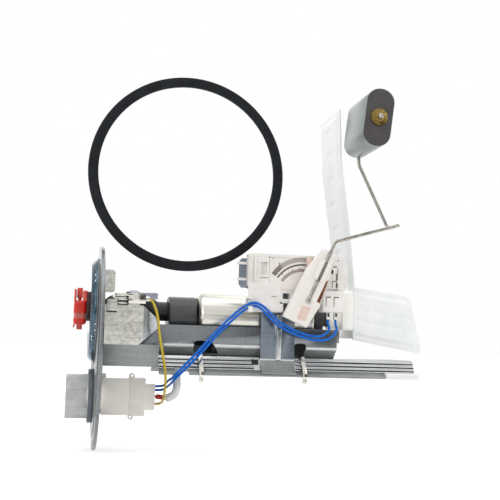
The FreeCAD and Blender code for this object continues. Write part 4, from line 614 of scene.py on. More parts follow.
def makeFinish(name, s):
    # the Emission Strength glow makes a finish glow in its light colour: painted light
    finish, tree, shader = newMaterial(name, {
        "Metallic": s["metal"], "Specular IOR Level": s.get("gloss", 0.5),
        "Emission Color": s["light"], "Emission Strength": s.get("lift", 0.0)})
    place = addNode(tree, "TexCoord")
    effect = addNode(tree, "Group")
    effect.node_tree = effects[s["effect"]]
    setInputs(effect, s["values"])
    colour = addNode(tree, "Mix")
    colour.data_type = "RGBA"
    setInputs(colour, {"A": s["dark"], "B": s["light"]})
    rough = addNode(tree, "MapRange", {"To Min": s["rough"][0], "To Max": s["rough"][1]})
    bump = addNode(tree, "Bump", {"Strength": s["bump"], "Distance": 0.0004})
    link = tree.links.new
    link(place.outputs["Object"], effect.inputs["Vector"])
    link(effect.outputs["Shade"], colour.inputs["Factor"])
    link(colour.outputs["Result"], shader.inputs["Base Color"])
    link(effect.outputs["Wear"], rough.inputs["Value"])
    link(rough.outputs["Result"], shader.inputs["Roughness"])
    link(effect.outputs["Height"], bump.inputs["Height"])
    link(bump.outputs["Normal"], shader.inputs["Normal"])
    return finish


finishes = {name: makeFinish(name, s) for name, s in finishSettings.items()}
for node, piece in cadNodes.items():
    piece.data.materials.clear()
    piece.data.materials.append(finishes[finishOfSlot[slotOf[node]]])
print("finishes ready:", len(finishes))


# Leads: one smooth spline each on the route that the solid has.

leadSettings = {
    "radius": 0.95,
    "sleeveRadius": 3.1,
    "jointRadius": 1.9,
    "jointRoute": [(44.0, -1.2, -35.9), (46.8, -2.6, -36.0), (50.4, -6.9, -36.5), (53.4, -9.6, -35.9)],
    "yellow": {
        "length": 0.1012,
        "route": [
            (30.4, -28.75, 35.6), (35.0, -28.75, 35.6), (37.0, -29.8, 31.4), (38.8, -31.2, 26.6),
            (40.0, -32.0, 20.6), (40.7, -32.2, 14.1), (42.0, -32.6, 5.6), (44.0, -33.6, -3.4),
            (45.7, -34.4, -12.1), (46.7, -34.0, -19.7), (47.2, -29.4, -26.7), (47.6, -21.0, -33.3),
            (47.8, -13.0, -37.8), (47.2, -8.0, -40.0), (45.0, -4.9, -41.0), (42.35, -4.9, -41.0)],
    },
    "red": {
        "length": 0.0475,
        "route": [
            (42.35, -1.0, -35.8), (46.2, -1.0, -35.8), (51.2, -7.6, -36.6), (55.9, -11.6, -34.5),
            (58.0, -12.0, -28.8), (57.6, -11.0, -21.5), (56.8, -10.4, -14.0), (56.8, -10.4, -5.3)],
    },
    "blueLong": {
        "length": 0.2010,
        "route": [
            (42.35, -1.5, -31.0), (46.6, -1.5, -31.0), (50.0, -5.6, -29.8), (50.8, -12.5, -27.6),
            (52.0, -21.6, -25.2), (53.8, -31.0, -21.0), (57.8, -34.6, -16.6), (64.6, -34.8, -9.6),
            (72.5, -33.6, -1.2), (80.4, -32.5, 7.9), (89.2, -31.5, 17.2), (97.9, -31.5, 25.8),
            (104.6, -33.6, 31.8), (109.8, -36.4, 34.1), (115.2, -36.8, 31.6), (121.9, -35.4, 25.0),
            (130.1, -34.2, 18.7), (140.7, -34.0, 13.9), (149.4, -34.0, 11.0), (157.6, -34.0, 9.4),
            (165.5, -33.8, 9.7), (171.8, -33.0, 13.0), (175.2, -31.4, 18.2), (174.5, -28.4, 21.8),
            (174.5, -28.4, 25.6)],
    },
    "blueShort": {
        "length": 0.1917,
        "route": [
            (42.35, -4.4, -28.0), (45.8, -4.4, -28.0), (48.2, -8.0, -27.2), (49.0, -14.4, -25.6),
            (49.8, -22.6, -22.8), (52.3, -31.8, -20.2), (56.2, -35.0, -15.0), (63.0, -34.8, -7.9),
            (70.8, -33.5, 0.4), (78.8, -32.5, 9.6), (87.6, -31.5, 18.9), (96.3, -31.5, 27.6),
            (103.4, -33.6, 33.8), (109.8, -36.6, 36.4), (116.5, -36.9, 33.7), (123.4, -35.5, 27.1),
            (131.4, -34.3, 20.9), (141.7, -34.0, 16.1), (148.6, -34.0, 13.9), (155.6, -34.0, 12.4),
            (161.8, -33.8, 12.4), (166.9, -33.0, 15.4), (169.4, -31.4, 19.0), (168.4, -28.4, 22.2),
            (168.4, -28.4, 25.6)],
    },
}


def layLead(name, route, radius, finish, slot, stoodFor):
    curve = bpy.data.curves.new(name, "CURVE")
    curve.dimensions = "3D"
    line = curve.splines.new("NURBS")
    line.points.add(len(route) - 1)
    for point, (x, y, z) in zip(line.points, route):
        point.co = (x / 1000, y / 1000, z / 1000, 1.0)
    line.order_u = 3
    line.use_endpoint_u = True
    line.resolution_u = 8
    curve.bevel_depth = radius / 1000
    curve.bevel_resolution = 5
    curve.use_fill_caps = True
    lead = bpy.data.objects.new(name, curve)
    bpy.context.scene.collection.objects.link(lead)
    curve.materials.append(finishes[finish])
    hand(lead, "root", slot, stoodFor)
    return lead


def layLeads(s):
    sleeve = layLead("redLeadSleeve", s["red"]["route"][2:], s["sleeveRadius"],
                     "sleeveClear", "clear_sleeve", ("wire_sleeve",))
    joint = layLead("redLeadJoint", s["jointRoute"], s["jointRadius"], "redSkin", "red_wire", ())
    plan = [
        ("yellowLead", "yellow", "yellowSkin", "yellow_wire", "wire_yellow", ()),
        ("redLead", "red", "redSkin", "red_wire", "wire_red", (sleeve, joint)),
        ("blueLeadLong", "blueLong", "blueSkin", "blue_wire", "wire_blue_long", ()),
        ("blueLeadShort", "blueShort", "blueSkin", "blue_wire", "wire_blue_short", ()),
    ]
    for name, key, finish, slot, node, pieces in plan:
        route = s[key]["route"]
        lead = layLead(name, route, s["radius"], finish, slot, (node,))
        mm(*route[0])
        list(pieces)


layLeads(leadSettings)
print("leads laid")


# Plain pieces: the solid's own form with its edges broken, in its own finish.

# Each row is the width of the broken edges in millimetres, the finish and, if not 2, the bevel's steps.
edgeSettings = {
    "flange_plate": (0.35, "flangePlate"),
    "flange_cap": (0.7, "blueSteel", 3),
    "outlet_grommet": (0.4, "darkRubber"),
    "connector_housing": (0.7, "milkyShell"),
    "connector_gasket": (0.2, "slateRubber"),
    "connector_plug": (0.9, "creamNylon"),
    "hanger_near": (0.25, "paleZinc"),
    "hanger_far": (0.25, "paleZinc"),
    "hanger_tab": (0.25, "paleZinc"),
    "ground_terminal": (0.3, "brightSteel"),
    "hose_clamp": (0.3, "clampSteel"),
    "pump_outlet_end": (0.3, "blackPlastic"),
    "pump_cradle": (0.2, "rolledZinc"),
    "base_rail": (0.2, "railZinc"),
    "rail_foot": (0.5, "footNylon"),
    "clip_front": (0.2, "brightSteel"),
    "clip_rear": (0.2, "brightSteel"),
    "sender_bracket": (0.2, "strapZinc"),
    "sender_housing": (0.3, "senderWhite"),
    "bracket_clips": (0.3, "senderWhite"),
    "harness_clip": (0.3, "senderWhite"),
    "sender_terminals": (0.1, "brightSteel"),
    "strainer_neck": (0.6, "neckNylon", 3),
}

# Where a second finish starts and ends on these pieces, in millimetres.
zones = {
    "housingInside": -3.4, "facetStart": 29.2, "hangerFoot": 2.2,
    "cradleWall": 19, "cradleFoldLow": 1.4, "cradleFoldTop": 4.2, "cradleLeg": 12,
    "troughFloor": 3, "troughInward": -4, "troughTop": 17,
    "railSide": 21.5, "railLip": -14, "strapFoldLow": -7.2, "strapFoldTop": -5.0,
}

# Second finishes by zone. The connector's cream inside is its own colour; the others are painted light and shade:
# lighter copies as highlights, darker ones as shade.
shades = [
    # painted highlight on the flange's rim faces
    ("flange_plate", "flangeRim", lambda c, n: abs(n.x) < 0.5),
    ("connector_housing", "creamNylon", lambda c, n: c.x > zones["housingInside"]),
    # painted shade on the hanger's bent facet
    ("hanger_near hanger_far", "facetShadeZinc", lambda c, n: c.x > zones["facetStart"] and abs(n.y) > 0.4),
    # painted shade on the hanger's lower, down-facing face
    ("hanger_near hanger_far", "slopeShadeZinc", lambda c, n: c.z < zones["hangerFoot"]),
    # painted highlight along the cradle wall's fold
    ("pump_cradle", "foldHighlightZinc", lambda c, n: abs(c.y) > zones["cradleWall"]
     and zones["cradleFoldLow"] < c.z < zones["cradleFoldTop"]),
    # the cradle's lower sloping wall in the painted shade tone
    ("pump_cradle", "slopeShadeZinc", lambda c, n: abs(c.y) > zones["cradleLeg"] and c.z <= zones["cradleFoldLow"]),
    # painted shade inside the trough: its floor and its inward-facing walls
    ("pump_cradle", "shadowZinc", lambda c, n: n.z > 0.3 and c.z < zones["troughFloor"]
     or c.y * n.y < zones["troughInward"] and c.z < zones["troughTop"]),
    # painted shade on the down-facing sides of the rail's beads
    ("base_rail", "shadowZinc", lambda c, n: abs(c.y) > zones["railSide"] and n.z < 0.12
     and c.z > zones["railLip"]),
    # the rail's lower lip in the painted shade tone
    ("base_rail", "slopeShadeZinc", lambda c, n: c.z <= zones["railLip"]),
    # painted highlight along the strap's fold
    ("sender_bracket", "foldHighlightZinc", lambda c, n: zones["strapFoldLow"] < c.z < zones["strapFoldTop"]),
    # the strap's foot in the painted shade tone
    ("sender_bracket", "slopeShadeZinc", lambda c, n: c.z <= zones["strapFoldLow"]),
]


def pieceName(node):
    first, *rest = node.split("_")
    return first + "".join(word.capitalize() for word in rest)


def finishCopy(piece, node, width, finish, steps=2):
    softenEdges(piece, width, steps)
    dress(piece, finish)
    standFor(piece, node)


def dressPlainPieces(settings):
    dressed = {}
    for node, row in settings.items():
        dressed[node] = workCopy(node, pieceName(node))
        finishCopy(dressed[node], node, *row)
    for nodes, finish, wanted in shades:
        for node in nodes.split():
            coverFaces(dressed[node], finish, wanted)
    return dressed


dressed = dressPlainPieces(edgeSettings)
print("plain pieces dressed:", len(dressed))


# Pieces whose ends lie a little off the solid's: each pull is a span along X and how far its points move.

pulledSettings = {
    "pump_case": {"finish": "pumpSteel", "width": 0.6, "pulls": [(0, 80, -2.3), (158, 200, -3.5)]},
    "pump_boot": {"finish": "bootRubber", "width": 0.3, "pulls": [(70.4, 80, -1.9)]},
    "pump_inlet_cover": {"finish": "blackPlastic", "width": 0.4, "pulls": [(160, 166.2, -3.4)]},
}


def pullEnds(settings):
    for node, s in settings.items():
        piece = workCopy(node, pieceName(node))
        for low, high, shift in s["pulls"]:
            editAll(piece)
            selectMesh("DESELECT")
            objectMode()
            for vertex in piece.data.vertices:
                vertex.select = low < vertex.co.x * 1000 < high
            selectOnly(piece)
            bpy.ops.object.mode_set(mode="EDIT")
            bpy.ops.mesh.select_mode(type="VERT")
            bpy.ops.transform.translate(value=mm(shift, 0, 0))
            bpy.ops.mesh.select_mode(type="FACE")
            objectMode()
        finishCopy(piece, node, s["width"], s["finish"], 3)


pullEnds(pulledSettings)


# Details of the hanger, cradle and strap: gusset, ear and lug, the terminal's strips with painted shadow lines
# between them, round the lug and along the hanger's edge, and a pressed bead finished as a painted highlight.

sheetSettings = {
    "plates": {
        "cradleGusset": {"corners": [(27.0, 2.6), (27.0, 3.4), (42.6, 17.4), (46.0, 18.0), (46.0, 2.6)],
                         "front": -21.95, "thick": 0.8, "edge": 0.15,
                         "finish": "rolledZinc", "node": "pump_cradle"},
        "cradleEar": {"corners": [(175.5, 8.0), (179.8, 7.8), (179.8, 17.9), (175.5, 17.9)],
                      "front": -21.95, "thick": 0.8, "edge": 0.15, "finish": "rolledZinc", "node": "pump_cradle"},
        "hangerLug": {"corners": [(2.7, 34.8), (9.8, 34.9), (10.0, 26.6), (2.9, 26.4)],
                      "front": -30.3, "thick": 0.9, "edge": 0.2, "finish": "paleZinc", "node": "hanger_near"},
    },
    "strips": [(8.3, 37.6, 21.0, 39.3), (10.4, 34.4, 17.3, 35.8), (10.5, 31.9, 17.4, 32.9)],
    "stripDepth": (-31.2, -29.3),
    # dark lines on the terminal, round the lug and along the hanger's edge by the flange: painted shadow
    "grooves": [(8.3, 36.6, 21.0, 37.3), (10.4, 33.3, 17.3, 34.1), (10.5, 30.9, 17.4, 31.6),
                (8.3, 37.6, 8.9, 39.5), (2.6, 25.5, 10.1, 26.3), (3.0, 35.3, 8.0, 35.9), (0.1, 3.2, 1.2, 25.5)],
    "shadowLineDepth": (-30.5, -29.4),
    "bead": ((129.7, -24.7, -6.4), (133.9, -22.8, 28.6)),
    "beadRound": 1.3,
}


def dressPlate(name, corners, front, thick, finish, body, slot, edge=0.0, steps=2):
    plate = plateOf(name, corners, front, thick)
    if edge:
        softenEdges(plate, edge, steps)
    present(plate, finish, body, slot)


def makeSheetDetails(s):
    for name, p in s["plates"].items():
        dressPlate(name, p["corners"], p["front"], p["thick"], p["finish"], "root", slotOf[p["node"]], p["edge"])
    strips = joinAll("terminalStrips", bars(s["strips"], *s["stripDepth"]))
    softenEdges(strips, 0.25)
    present(strips, "brightSteel", "root", slotOf["ground_terminal"])
    # the dark lines are painted shadow between the bright strips and round the lug
    grooves = joinAll("terminalShadowLines", bars(s["grooves"], *s["shadowLineDepth"]))
    present(grooves, "shadowZinc", "root", slotOf["ground_terminal"])
    # the bead wears the rail's pale zinc instead of the strap's: a painted highlight along it
    bead = block("strapBead", *s["bead"])
    softenEdges(bead, s["beadRound"], 5)
    present(bead, "railZinc", "root", slotOf["sender_bracket"])


makeSheetDetails(sheetSettings)

hoseSettings = {"stouter": 1.16, "edge": 0.3}


def makeHose(s):
    # the hose keeps its upper line and is a little stouter than its solid
    hose = workCopy("fuel_hose", "fuelHose")
    top = max(vertex.co.z for vertex in hose.data.vertices)
    editAll(hose)
    bpy.ops.transform.resize(value=(1.0, s["stouter"], s["stouter"]), center_override=(0, 0, top))
    objectMode()
    softenEdges(hose, s["edge"])
    dress(hose, "blackRubber")
    standFor(hose, "fuel_hose")


makeHose(hoseSettings)
print("pump pieces and sheet details made")


# Lip and spot marks of the pressed cap; the lip ring is finished as a painted highlight.

capSettings = {"middle": 27.0, "lipInner": 38.1, "lipOuter": 39.4, "lipBack": -4.4, "lipFront": -3.5,
               "lipRound": 0.3, "steps": 120, "spotRadius": 0.75, "spotReach": 38.0,
               "spots": [(-5.6, 24.6), (-5.6, 20.4), (-6.6, -19.2), (-6.6, -21.4), (-4.6, -10.6), (-4.6, -14.8)]}


def spinRing(name, centre, low, high, axis, steps, rounding):
    # a rectangle in a plane through the axis, with rounded corners, spun right round
    middle = (mm(*low) + mm(*high)) / 2
    size = mm(*high) - mm(*low)
    clearSelection()
    bpy.ops.mesh.primitive_plane_add(size=1)
    ring = bpy.context.object
    ring.name = name
    across = [i for i in range(3) if abs(size[i]) > 1e-9]
    for vertex in ring.data.vertices:
        share = (vertex.co.x, vertex.co.y)
        place = Vector(middle)
        for i, part in zip(across, share):
            place[i] += part * size[i]
        vertex.co = place
    editAll(ring)
    bpy.ops.mesh.bevel(offset=rounding / 1000, segments=4, affect="VERTICES")
    selectMesh()
    bpy.ops.mesh.delete(type="ONLY_FACE")
    bpy.ops.mesh.select_mode(type="VERT")
    selectMesh()
    bpy.ops.mesh.spin(steps=steps, angle=math.tau, center=mm(*centre), axis=axis)
    selectMesh()
    bpy.ops.mesh.remove_doubles(threshold=0.00001)
    faceOutwards()
    objectMode()
    smooth(ring)
    return ring


def makeCapLip(s):
    low = (s["lipBack"], 0, s["middle"] + s["lipInner"])
    high = (s["lipFront"], 0, s["middle"] + s["lipOuter"])
    lip = spinRing("capLip", (0, 0, s["middle"]), low, high, (1, 0, 0), s["steps"], s["lipRound"])
    # the lip ring wears the rim's lighter steel: a painted highlight
    present(lip, "flangeRim", "root", "flange_steel")
    spots = []
    for along, rise in s["spots"]:
        nearness = math.sqrt(s["spotReach"] ** 2 - rise ** 2)
        spots.append(ball("spot", (along, -nearness, s["middle"] + rise), s["spotRadius"], 16))
    marks = joinAll("capSpots", spots)
    smooth(marks, 60)
    present(marks, "brightSteel", "root", "flange_steel")


makeCapLip(capSettings)


# Seal ring that lies off the flange.

sealSettings = {"middle": (61.5, 0, 135.5), "outer": 76.0, "band": 7.8, "thick": 3.0, "round": 1.1, "steps": 180}


def makeSeal(s):
    x, _, z = s["middle"]
    low = (x + s["outer"] - s["band"], -s["thick"] / 2, z)
    high = (x + s["outer"], s["thick"] / 2, z)
    ring = spinRing("sealRing", s["middle"], low, high, (0, 1, 0), s["steps"], s["round"])
    dress(ring, "sealRubber")
    standFor(ring, "tank_seal")


makeSeal(sealSettings)
print("cap lip and seal ring made")


# Red dust cap over the outlet: a stepped box with a spring latch on top and a thumb nub below.

dustCapSettings = {
    "body": ((-20.0, -10.0, 16.0), (-10.6, 10.0, 33.9)),
    "outerWall": ((-20.0, -9.4, 33.0), (-18.4, 9.4, 42.2)),
    "innerWall": ((-13.6, -9.0, 33.0), (-10.6, 9.0, 41.2)),
    "latch": ((-17.9, -4.0, 36.0), (-13.9, 4.0, 43.4)),
    "latchArm": ((-17.0, -2.6, 33.0), (-14.6, 2.6, 37.0)),
    "nub": ((-17.4, -2.5, 12.5), (-13.4, 2.5, 16.6)),
    "prong": ((-20.0, -8.0, 13.9), (-18.9, 8.0, 16.6)),
    "bore": 4.05,
    "boreStart": -10.6,
    "boreDepth": 7.9,
    "tubeHeight": 30.0,
    "bandLow": 20.5,
    "bandHigh": 24.7,
    "bandInset": 0.3,
    "corner": 2.6,
    # heights above and below which the cap's red is painted as a highlight
    "highlightAbove": 36.2,
    "highlightBelow": 15.8,
}


def makeDustCap(s):
    cap = block("dustCap", *s["body"])
    editAll(cap)
    for level in (s["bandLow"], s["bandHigh"]):
        selectMesh()
        bpy.ops.mesh.bisect(plane_co=mm(0, 0, level), plane_no=(0, 0, 1))
    objectMode()
    bevelEdges(cap, s["corner"], 5, 60)
    editFaces(cap, lambda c, n: s["bandLow"] < c.z < s["bandHigh"] and abs(n.z) < 0.3)
    bpy.ops.mesh.extrude_region_shrink_fatten(TRANSFORM_OT_shrink_fatten={"value": -s["bandInset"] / 1000})
    objectMode()
    parts = [block(name, *s[name]) for name in ("outerWall", "innerWall", "latch", "latchArm", "nub", "prong")]
    for part in parts:
        softenEdges(part, 0.5, 3)
        carve(cap, part, "UNION")
    middle = (s["boreStart"] - s["boreDepth"] / 2, 0, s["tubeHeight"])
    carve(cap, drum("bore", middle, s["bore"], s["boreDepth"] + 0.2, "X", 40))
    softenEdges(cap, 0.2, 2, 50)
    dress(cap, "capRed")
    # painted sheen on the inset band
    coverFaces(cap, "capRedSheenBand", lambda c, n: s["bandLow"] - 0.2 < c.z < s["bandHigh"] + 0.2 and abs(n.z) < 0.5)
    # painted highlight on the latch top and on the nub and prong below
    coverFaces(cap, "capRedHighlight", lambda c, n: c.z > s["highlightAbove"] or c.z < s["highlightBelow"])
    standFor(cap, "outlet_cap")


makeDustCap(dustCapSettings)
print("dust cap made")


# Float, its push nut and the wire's round end.

floatSettings = {
    "stretch": (1.1, 1.0, 1.07),
    "edge": 0.6,
    "nutMiddle": (194.5, -63.8, 175.5),
    "nutRadius": 6.4,
    "nutThick": 0.9,
    "collar": 3.4,
    "collarRise": 0.7,
    "crownInset": 0.9,
    "crownRise": 0.4,
    "slots": 8,
    "slot": ((3.9, -0.2, -0.2), (5.4, 0.2, 0.2)),
    "tipRadius": 2.25,
    "tipDepth": -66.9,
    "tipCut": 0.6,
}


def makeFloat(s):
    body = workCopy("float", "floatBar")
    editAll(body)
    bpy.ops.transform.resize(value=s["stretch"], center_override=mm(*s["nutMiddle"]))
    objectMode()
    softenEdges(body, s["edge"], 3)
    dress(body, "foamSide")
    coverFaces(body, "foamEnd", lambda c, n: abs(n.y) > 0.9)
    standFor(body, "float")


def makePushNut(s):
    x, y, z = s["nutMiddle"]
    nut = drum("pushNut", (x, y, z), s["nutRadius"], s["nutThick"], "Y", 64)
    editFaces(nut, lambda c, n: n.y < -0.9)
    bpy.ops.mesh.inset(thickness=(s["nutRadius"] - s["collar"]) / 1000, depth=0)
    bpy.ops.mesh.extrude_region_move(TRANSFORM_OT_translate={"value": mm(0, -s["collarRise"], 0)})
    bpy.ops.mesh.inset(thickness=s["crownInset"] / 1000, depth=0)
    bpy.ops.transform.translate(value=mm(0, -s["crownRise"], 0))
    objectMode()
    for number in range(s["slots"]):
        tool = block("slot", *s["slot"])
        tool.rotation_euler = (0, math.tau * number / s["slots"], 0)
        tool.location = mm(x, y - s["nutThick"] / 2, z)
        settle(tool)
        carve(nut, tool)
    softenEdges(nut, 0.15)
    dress(nut, "nutBrass")
    standFor(nut, "push_nut")
    tip = ball("wireTip", (x, s["tipDepth"], z), s["tipRadius"], 32)
    editAll(tip)
    bpy.ops.mesh.bisect(plane_co=mm(x, y - s["tipCut"], z), plane_no=(0, 1, 0), clear_outer=True, use_fill=True)
    objectMode()
    softenEdges(tip, 0.1, 1)
    present(tip, "brightWire", "arm", "bright_wire")


makeFloat(floatSettings)
makePushNut(floatSettings)
print("float, nut and wire tip made")


# Resistor card: three arcs in their own inks, with trimming dots and marks.

trackSettings = {
    "pivot": (147.5, 42.2),
    "front": -31.22,
    "thick": 0.1,
    "blackReach": (20.0, 23.6),
    "mauveReach": 19.4,
    "end": [(123.4, 58.3), (126.2, 56.6), (131.7, 62.8), (129.5, 65.2), (126.2, 62.2)],
    "dots": [(139.2, 61.5), (144.9, 63.0), (131.7, 58.1), (142.7, 46.7), (124.0, 69.4)],
    "dotRadius": 0.42,
    "bars": [(129.0, 64.6, 129.7, 66.6), (158.6, 51.6, 160.2, 52.4)],
}


def makeTracks(s):
    arcs = workCopy("resistor_tracks", "resistorArcs")
    dress(arcs, "trackBrown")

    def reach(centre):
        return math.hypot(centre.x - s["pivot"][0], centre.z - s["pivot"][1])

    # a whole arc's middle lies nearer the pivot than the arc does
    nearest, farthest = s["blackReach"]
    coverFaces(arcs, "trackBlack", lambda c, n: n.y < -0.5 and nearest < reach(c) < farthest)
    coverFaces(arcs, "trackMauve", lambda c, n: n.y < -0.5 and reach(c) < s["mauveReach"])
    standFor(arcs, "resistor_tracks")
    dressPlate("arcEnd", s["end"], s["front"] - 0.2, s["thick"], "trackEnd", "root", "track_ink")
    marks = dots(s["dots"], s["front"], s["dotRadius"], s["thick"])
    marks += bars(s["bars"], s["front"] - s["thick"] / 2, s["front"] + s["thick"] / 2)
    inks = joinAll("cardMarks", marks)
    present(inks, "trackBlack", "root", "track_ink")


makeTracks(trackSettings)
cadNodes["wiper_contact"].data.materials[0] = finishes["wiperSalmon"]


# Sender housing's small features: cover and ear, dark marks, grooves, and the contact's frame and leaf.

senderSettings = {
    "front": -31.2,
    "coverFront": -31.36,
    "coverThick": 2.0,
    "cover": [(105.9, 50.9), (130.1, 51.8), (130.7, 30.4), (114.8, 29.8), (106.4, 32.2)],
    "windowBars": [(114.9, 65.9, 120.3, 66.5), (114.6, 54.6, 120.6, 55.4)],
    "coverSlots": [(123.4, 40.9, 127.8, 41.5)],
    "grooveProud": 0.05,
    "darkBars": [(169.4, 64.4, 172.3, 65.2)],
    "darkProud": 0.06,
    "darkSunk": 0.4,
    "dots": [(121.5, 70.4), (175.0, 70.1)],
    "dotRadius": 0.45,
    "dotThick": 0.12,
    "ear": [(175.0, 47.5), (180.6, 47.5), (180.9, 56.0), (175.0, 56.0)],
    "earProud": 0.1,
    "frameLines": [(173.4, 49.2, 174.1, 64.3), (170.4, 54.1, 173.4, 54.8), (170.4, 49.2, 171.0, 54.8)],
    "frameProud": 0.3,
    "sunk": 0.3,
    "leafCorners": [(168.0, 63.5), (169.9, 61.5), (169.0, 58.8), (167.4, 60.4)],
    "leafProud": 0.15,
    "leafThick": 0.3,
}


def makeSenderMarks(s):
    front, coverFront = s["front"], s["coverFront"]
    white, housing = "senderWhite", slotOf["sender_housing"]
    dressPlate("senderCover", s["cover"], coverFront, s["coverThick"], white, "root", housing, 0.3, 3)
    stopFront = min(vertex.co.y for vertex in dressed["sender_housing"].data.vertices) * 1000
    dark = bars(s["darkBars"], stopFront - s["darkProud"], stopFront + s["darkSunk"])
    dark += dots(s["dots"], front, s["dotRadius"], s["dotThick"])
    dressPlate("contactEar", s["ear"], front - s["earProud"], s["coverThick"], white, "root", housing, 0.2)
    inks = joinAll("senderDots", dark)
    present(inks, "trackBlack", "root", "black_plastic")
    grooves = bars(s["windowBars"], front - s["grooveProud"], front + s["sunk"])
    grooves += bars(s["coverSlots"], coverFront - s["grooveProud"], coverFront + s["sunk"])
    lines = joinAll("senderGrooves", grooves)
    present(lines, "trackMauve", "root", "track_ink")
    rims = joinAll("contactFrame", bars(s["frameLines"], front - s["frameProud"], front + s["sunk"]))
    softenEdges(rims, 0.1, 1)
    present(rims, "brightSteel", "root", "tube_steel")
    leafFront = stopFront - s["leafProud"]
    dressPlate("contactLeaf", s["leafCorners"], leafFront, s["leafThick"], "brightSteel", "root", "tube_steel")


makeSenderMarks(senderSettings)


# Wiper: salmon inlay, copper spring strip along its edge, hook loop of the wire.

wiperSettings = {
    "trim": [(165.9, 55.2), (158.5, 37.0), (160.2, 35.0), (168.0, 36.0), (172.0, 52.0)],
    "trimFront": -46.0,
    "trimDepth": 12.0,
    "face": -38.5,
    "thick": 0.4,
    "inlay": [(145.6, 35.2), (152.0, 33.4), (148.0, 23.6), (141.6, 25.0)],
    "inlayProud": 0.12,
    "strip": [(165.4, 54.4), (163.6, 53.2), (156.7, 38.4), (158.7, 36.9)],
    "stripProud": 0.3,
    "loopMiddle": (150.3, -39.4, 38.6),
    "loopRadius": 1.75,
    "loopStretch": (1.0, 0.45, 1.25),
}


def makeWiperDetails(s):
    wiper = workCopy("wiper_arm", "wiperArm")
    carve(wiper, plateOf("trim", s["trim"], s["trimFront"], s["trimDepth"]))
    softenEdges(wiper, 0.35)
    dress(wiper, "wiperWhite")
    standFor(wiper, "wiper_arm")
    inlayFront, stripFront = s["face"] - s["inlayProud"], s["face"] - s["stripProud"]
    dressPlate("wiperInlay", s["inlay"], inlayFront, s["thick"], "wiperSalmon", "arm", slotOf["wiper_arm"], 0.1, 1)
    dressPlate("wiperStrip", s["strip"], stripFront, s["thick"], "copperStrip", "arm", "copper", 0.08, 1)
    loop = ball("wireHookEnd", s["loopMiddle"], s["loopRadius"], 24)
    editAll(loop)
    bpy.ops.transform.resize(value=s["loopStretch"], center_override=mm(*s["loopMiddle"]))
    objectMode()
    smooth(loop, 60)
    present(loop, "brightWire", "arm", "bright_wire")


makeWiperDetails(wiperSettings)
print("sender, card and wiper details made")


# Strainer sock: two welded mesh panels, a tall leg and a low one, each thin at its welded border.

sockSettings = {
    "legHeights": (12.0, 52.5, 89.7, 153.6, 195.0),
    "legAlong": (194.2, 194.2, 190.3, 181.5, 179.9),
    "legNear": -7.0,
    "legFar": 45.0,
    "legGrid": (150, 44),
    "footExtra": 8,
    "thick": 4.0,
    "border": 3.6,
    "rise": 3.2,
    "thin": 0.24,
    "dimpleStart": 22,
    "dimplePitch": 20.0,
    "dimpleHalf": 7,
    "dimpleSpread": 3.2,
    "dimpleShare": 0.45,
    "wrinkle": 0.35,
    "legRipple": (0.05, 3.0),
    "rippleEdge": 8,
    "panelCorners": [(196.0, 11.0), (254.1, 1.3), (243.4, 46.4), (196.0, 52.2)],
    "panelMiddle": -5.0,
    "panelSpan": (55.0, 43.0),
    "panelRound": 5.0,
    "panelGrid": (96, 80),
    "panelRipple": (0.06, 7.0),
    "spacerRows": (0.38, 0.6),
    "spacerPitch": 16,
    "spacerDash": 11,
    "spacerGap": 0.3,
    "spacerSpread": 3.0,
    "spacerShare": 0.4,
}


def alongAt(z, heights, alongs):
    for low, high, start, end in zip(heights, heights[1:], alongs, alongs[1:]):
        if z <= high:
            return start + (end - start) * (z - low) / (high - low)
    return alongs[-1]


def pillow(fromEdge, s):
    # share of the full thickness at a distance from the welded border
    inside = min(max((fromEdge - s["border"]) / s["rise"], 0.0), 1.0)
    return s["thin"] + (1 - s["thin"]) * inside * inside * (3 - 2 * inside)


def rippleAt(a, b, ripple, wrinkle):
    pitch, level = ripple
    return noise.noise(Vector((a * pitch, b * pitch, level))) * wrinkle


def makeSheetLeg(name, grid, placeOf, shareOf, s):
    # a grid laid on the leg's middle plane, thickened by each point's own share
    clearSelection()
    bpy.ops.mesh.primitive_grid_add(x_subdivisions=grid[0], y_subdivisions=grid[1], size=1)
    leg = bpy.context.object
    leg.name = name
    group = leg.vertex_groups.new(name="thickness")
    for vertex in leg.data.vertices:
        u, v = vertex.co.x + 0.5, vertex.co.y + 0.5
        group.add([vertex.index], shareOf(u, v), "REPLACE")
        vertex.co = placeOf(u, v)
    wall = leg.modifiers.new("wall", "SOLIDIFY")
    wall.thickness = s["thick"] / 1000
    wall.offset = 0
    wall.vertex_group = "thickness"
    applyAll(leg)
    editAll(leg)
    faceOutwards()
    objectMode()
    leg.vertex_groups.clear()
    bpy.ops.object.shade_smooth()
    return leg


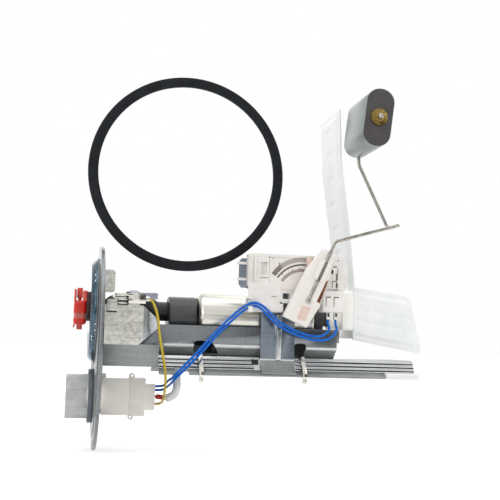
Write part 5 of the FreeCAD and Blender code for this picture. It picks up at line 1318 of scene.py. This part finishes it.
def makeTallLeg(s):
    low, high = s["legHeights"][0], s["legHeights"][-1]
    width = s["legFar"] - s["legNear"]
    middle = (s["legNear"] + s["legFar"]) / 2

    def placeOf(u, v):
        z = low + (high - low) * u
        y = s["legNear"] + width * v
        edge = min(y - s["legNear"], s["legFar"] - y, high - z)
        ripple = rippleAt(y, z, s["legRipple"], s["wrinkle"]) * min(edge / s["rippleEdge"], 1)
        return mm(alongAt(z, s["legHeights"], s["legAlong"]) + s["thick"] / 2 + ripple, y, z)

    def shareOf(u, v):
        z = low + (high - low) * u
        y = s["legNear"] + width * v
        share = pillow(min(y - s["legNear"], s["legFar"] - y, z - low + s["footExtra"], high - z), s)
        steps = (z - s["dimpleStart"]) / s["dimplePitch"]
        row = abs(steps - round(steps)) * s["dimplePitch"]
        dip = math.exp(-row ** 2 / s["dimpleSpread"]) if abs(y - middle) < s["dimpleHalf"] else 0
        return max(share * (1 - s["dimpleShare"] * dip), s["thin"])

    return makeSheetLeg("sockTall", s["legGrid"], placeOf, shareOf, s)


def makeLowPanel(s):
    corners = [Vector(corner) for corner in s["panelCorners"]]
    lengthX, lengthZ = s["panelSpan"]
    radius = s["panelRound"]

    def roundCorner(u, v):
        # the two free corners of the low panel are pulled onto an arc
        a, b = (1 - u) * lengthX, min(v, 1 - v) * lengthZ
        if a < radius and b < radius:
            dx, dz = radius - a, radius - b
            pull = max(dx, dz) / max(math.hypot(dx, dz), 1e-6)
            a, b = radius - dx * pull, radius - dz * pull
            u = 1 - a / lengthX
            v = b / lengthZ if v < 0.5 else 1 - b / lengthZ
        return u, v

    def placeOf(u, v):
        u, v = roundCorner(u, v)
        spot = (corners[0] * (1 - u) + corners[1] * u) * (1 - v) + (corners[3] * (1 - u) + corners[2] * u) * v
        ripple = rippleAt(spot.x, spot.y, s["panelRipple"], s["wrinkle"]) * min(1 - u, v, 1 - v) * 4
        return mm(spot.x, s["panelMiddle"] + ripple, spot.y)

    def shareOf(u, v):
        share = pillow(min((1 - u) * lengthX, v * lengthZ, (1 - v) * lengthZ), s)
        dash = 1 if (u * lengthX % s["spacerPitch"]) < s["spacerDash"] else s["spacerGap"]
        for row in s["spacerRows"]:
            dip = dash * math.exp(-(((v - row) * lengthZ) ** 2) / s["spacerSpread"])
            share *= 1 - s["spacerShare"] * dip
        return max(share, s["thin"])

    return makeSheetLeg("sockLow", s["panelGrid"], placeOf, shareOf, s)


def makeSock(s):
    sock = joinAll("strainerSock", [makeTallLeg(s), makeLowPanel(s)])
    dress(sock, "sockMesh")
    standFor(sock, "strainer_sock")


makeSock(sockSettings)
print("strainer sock made")
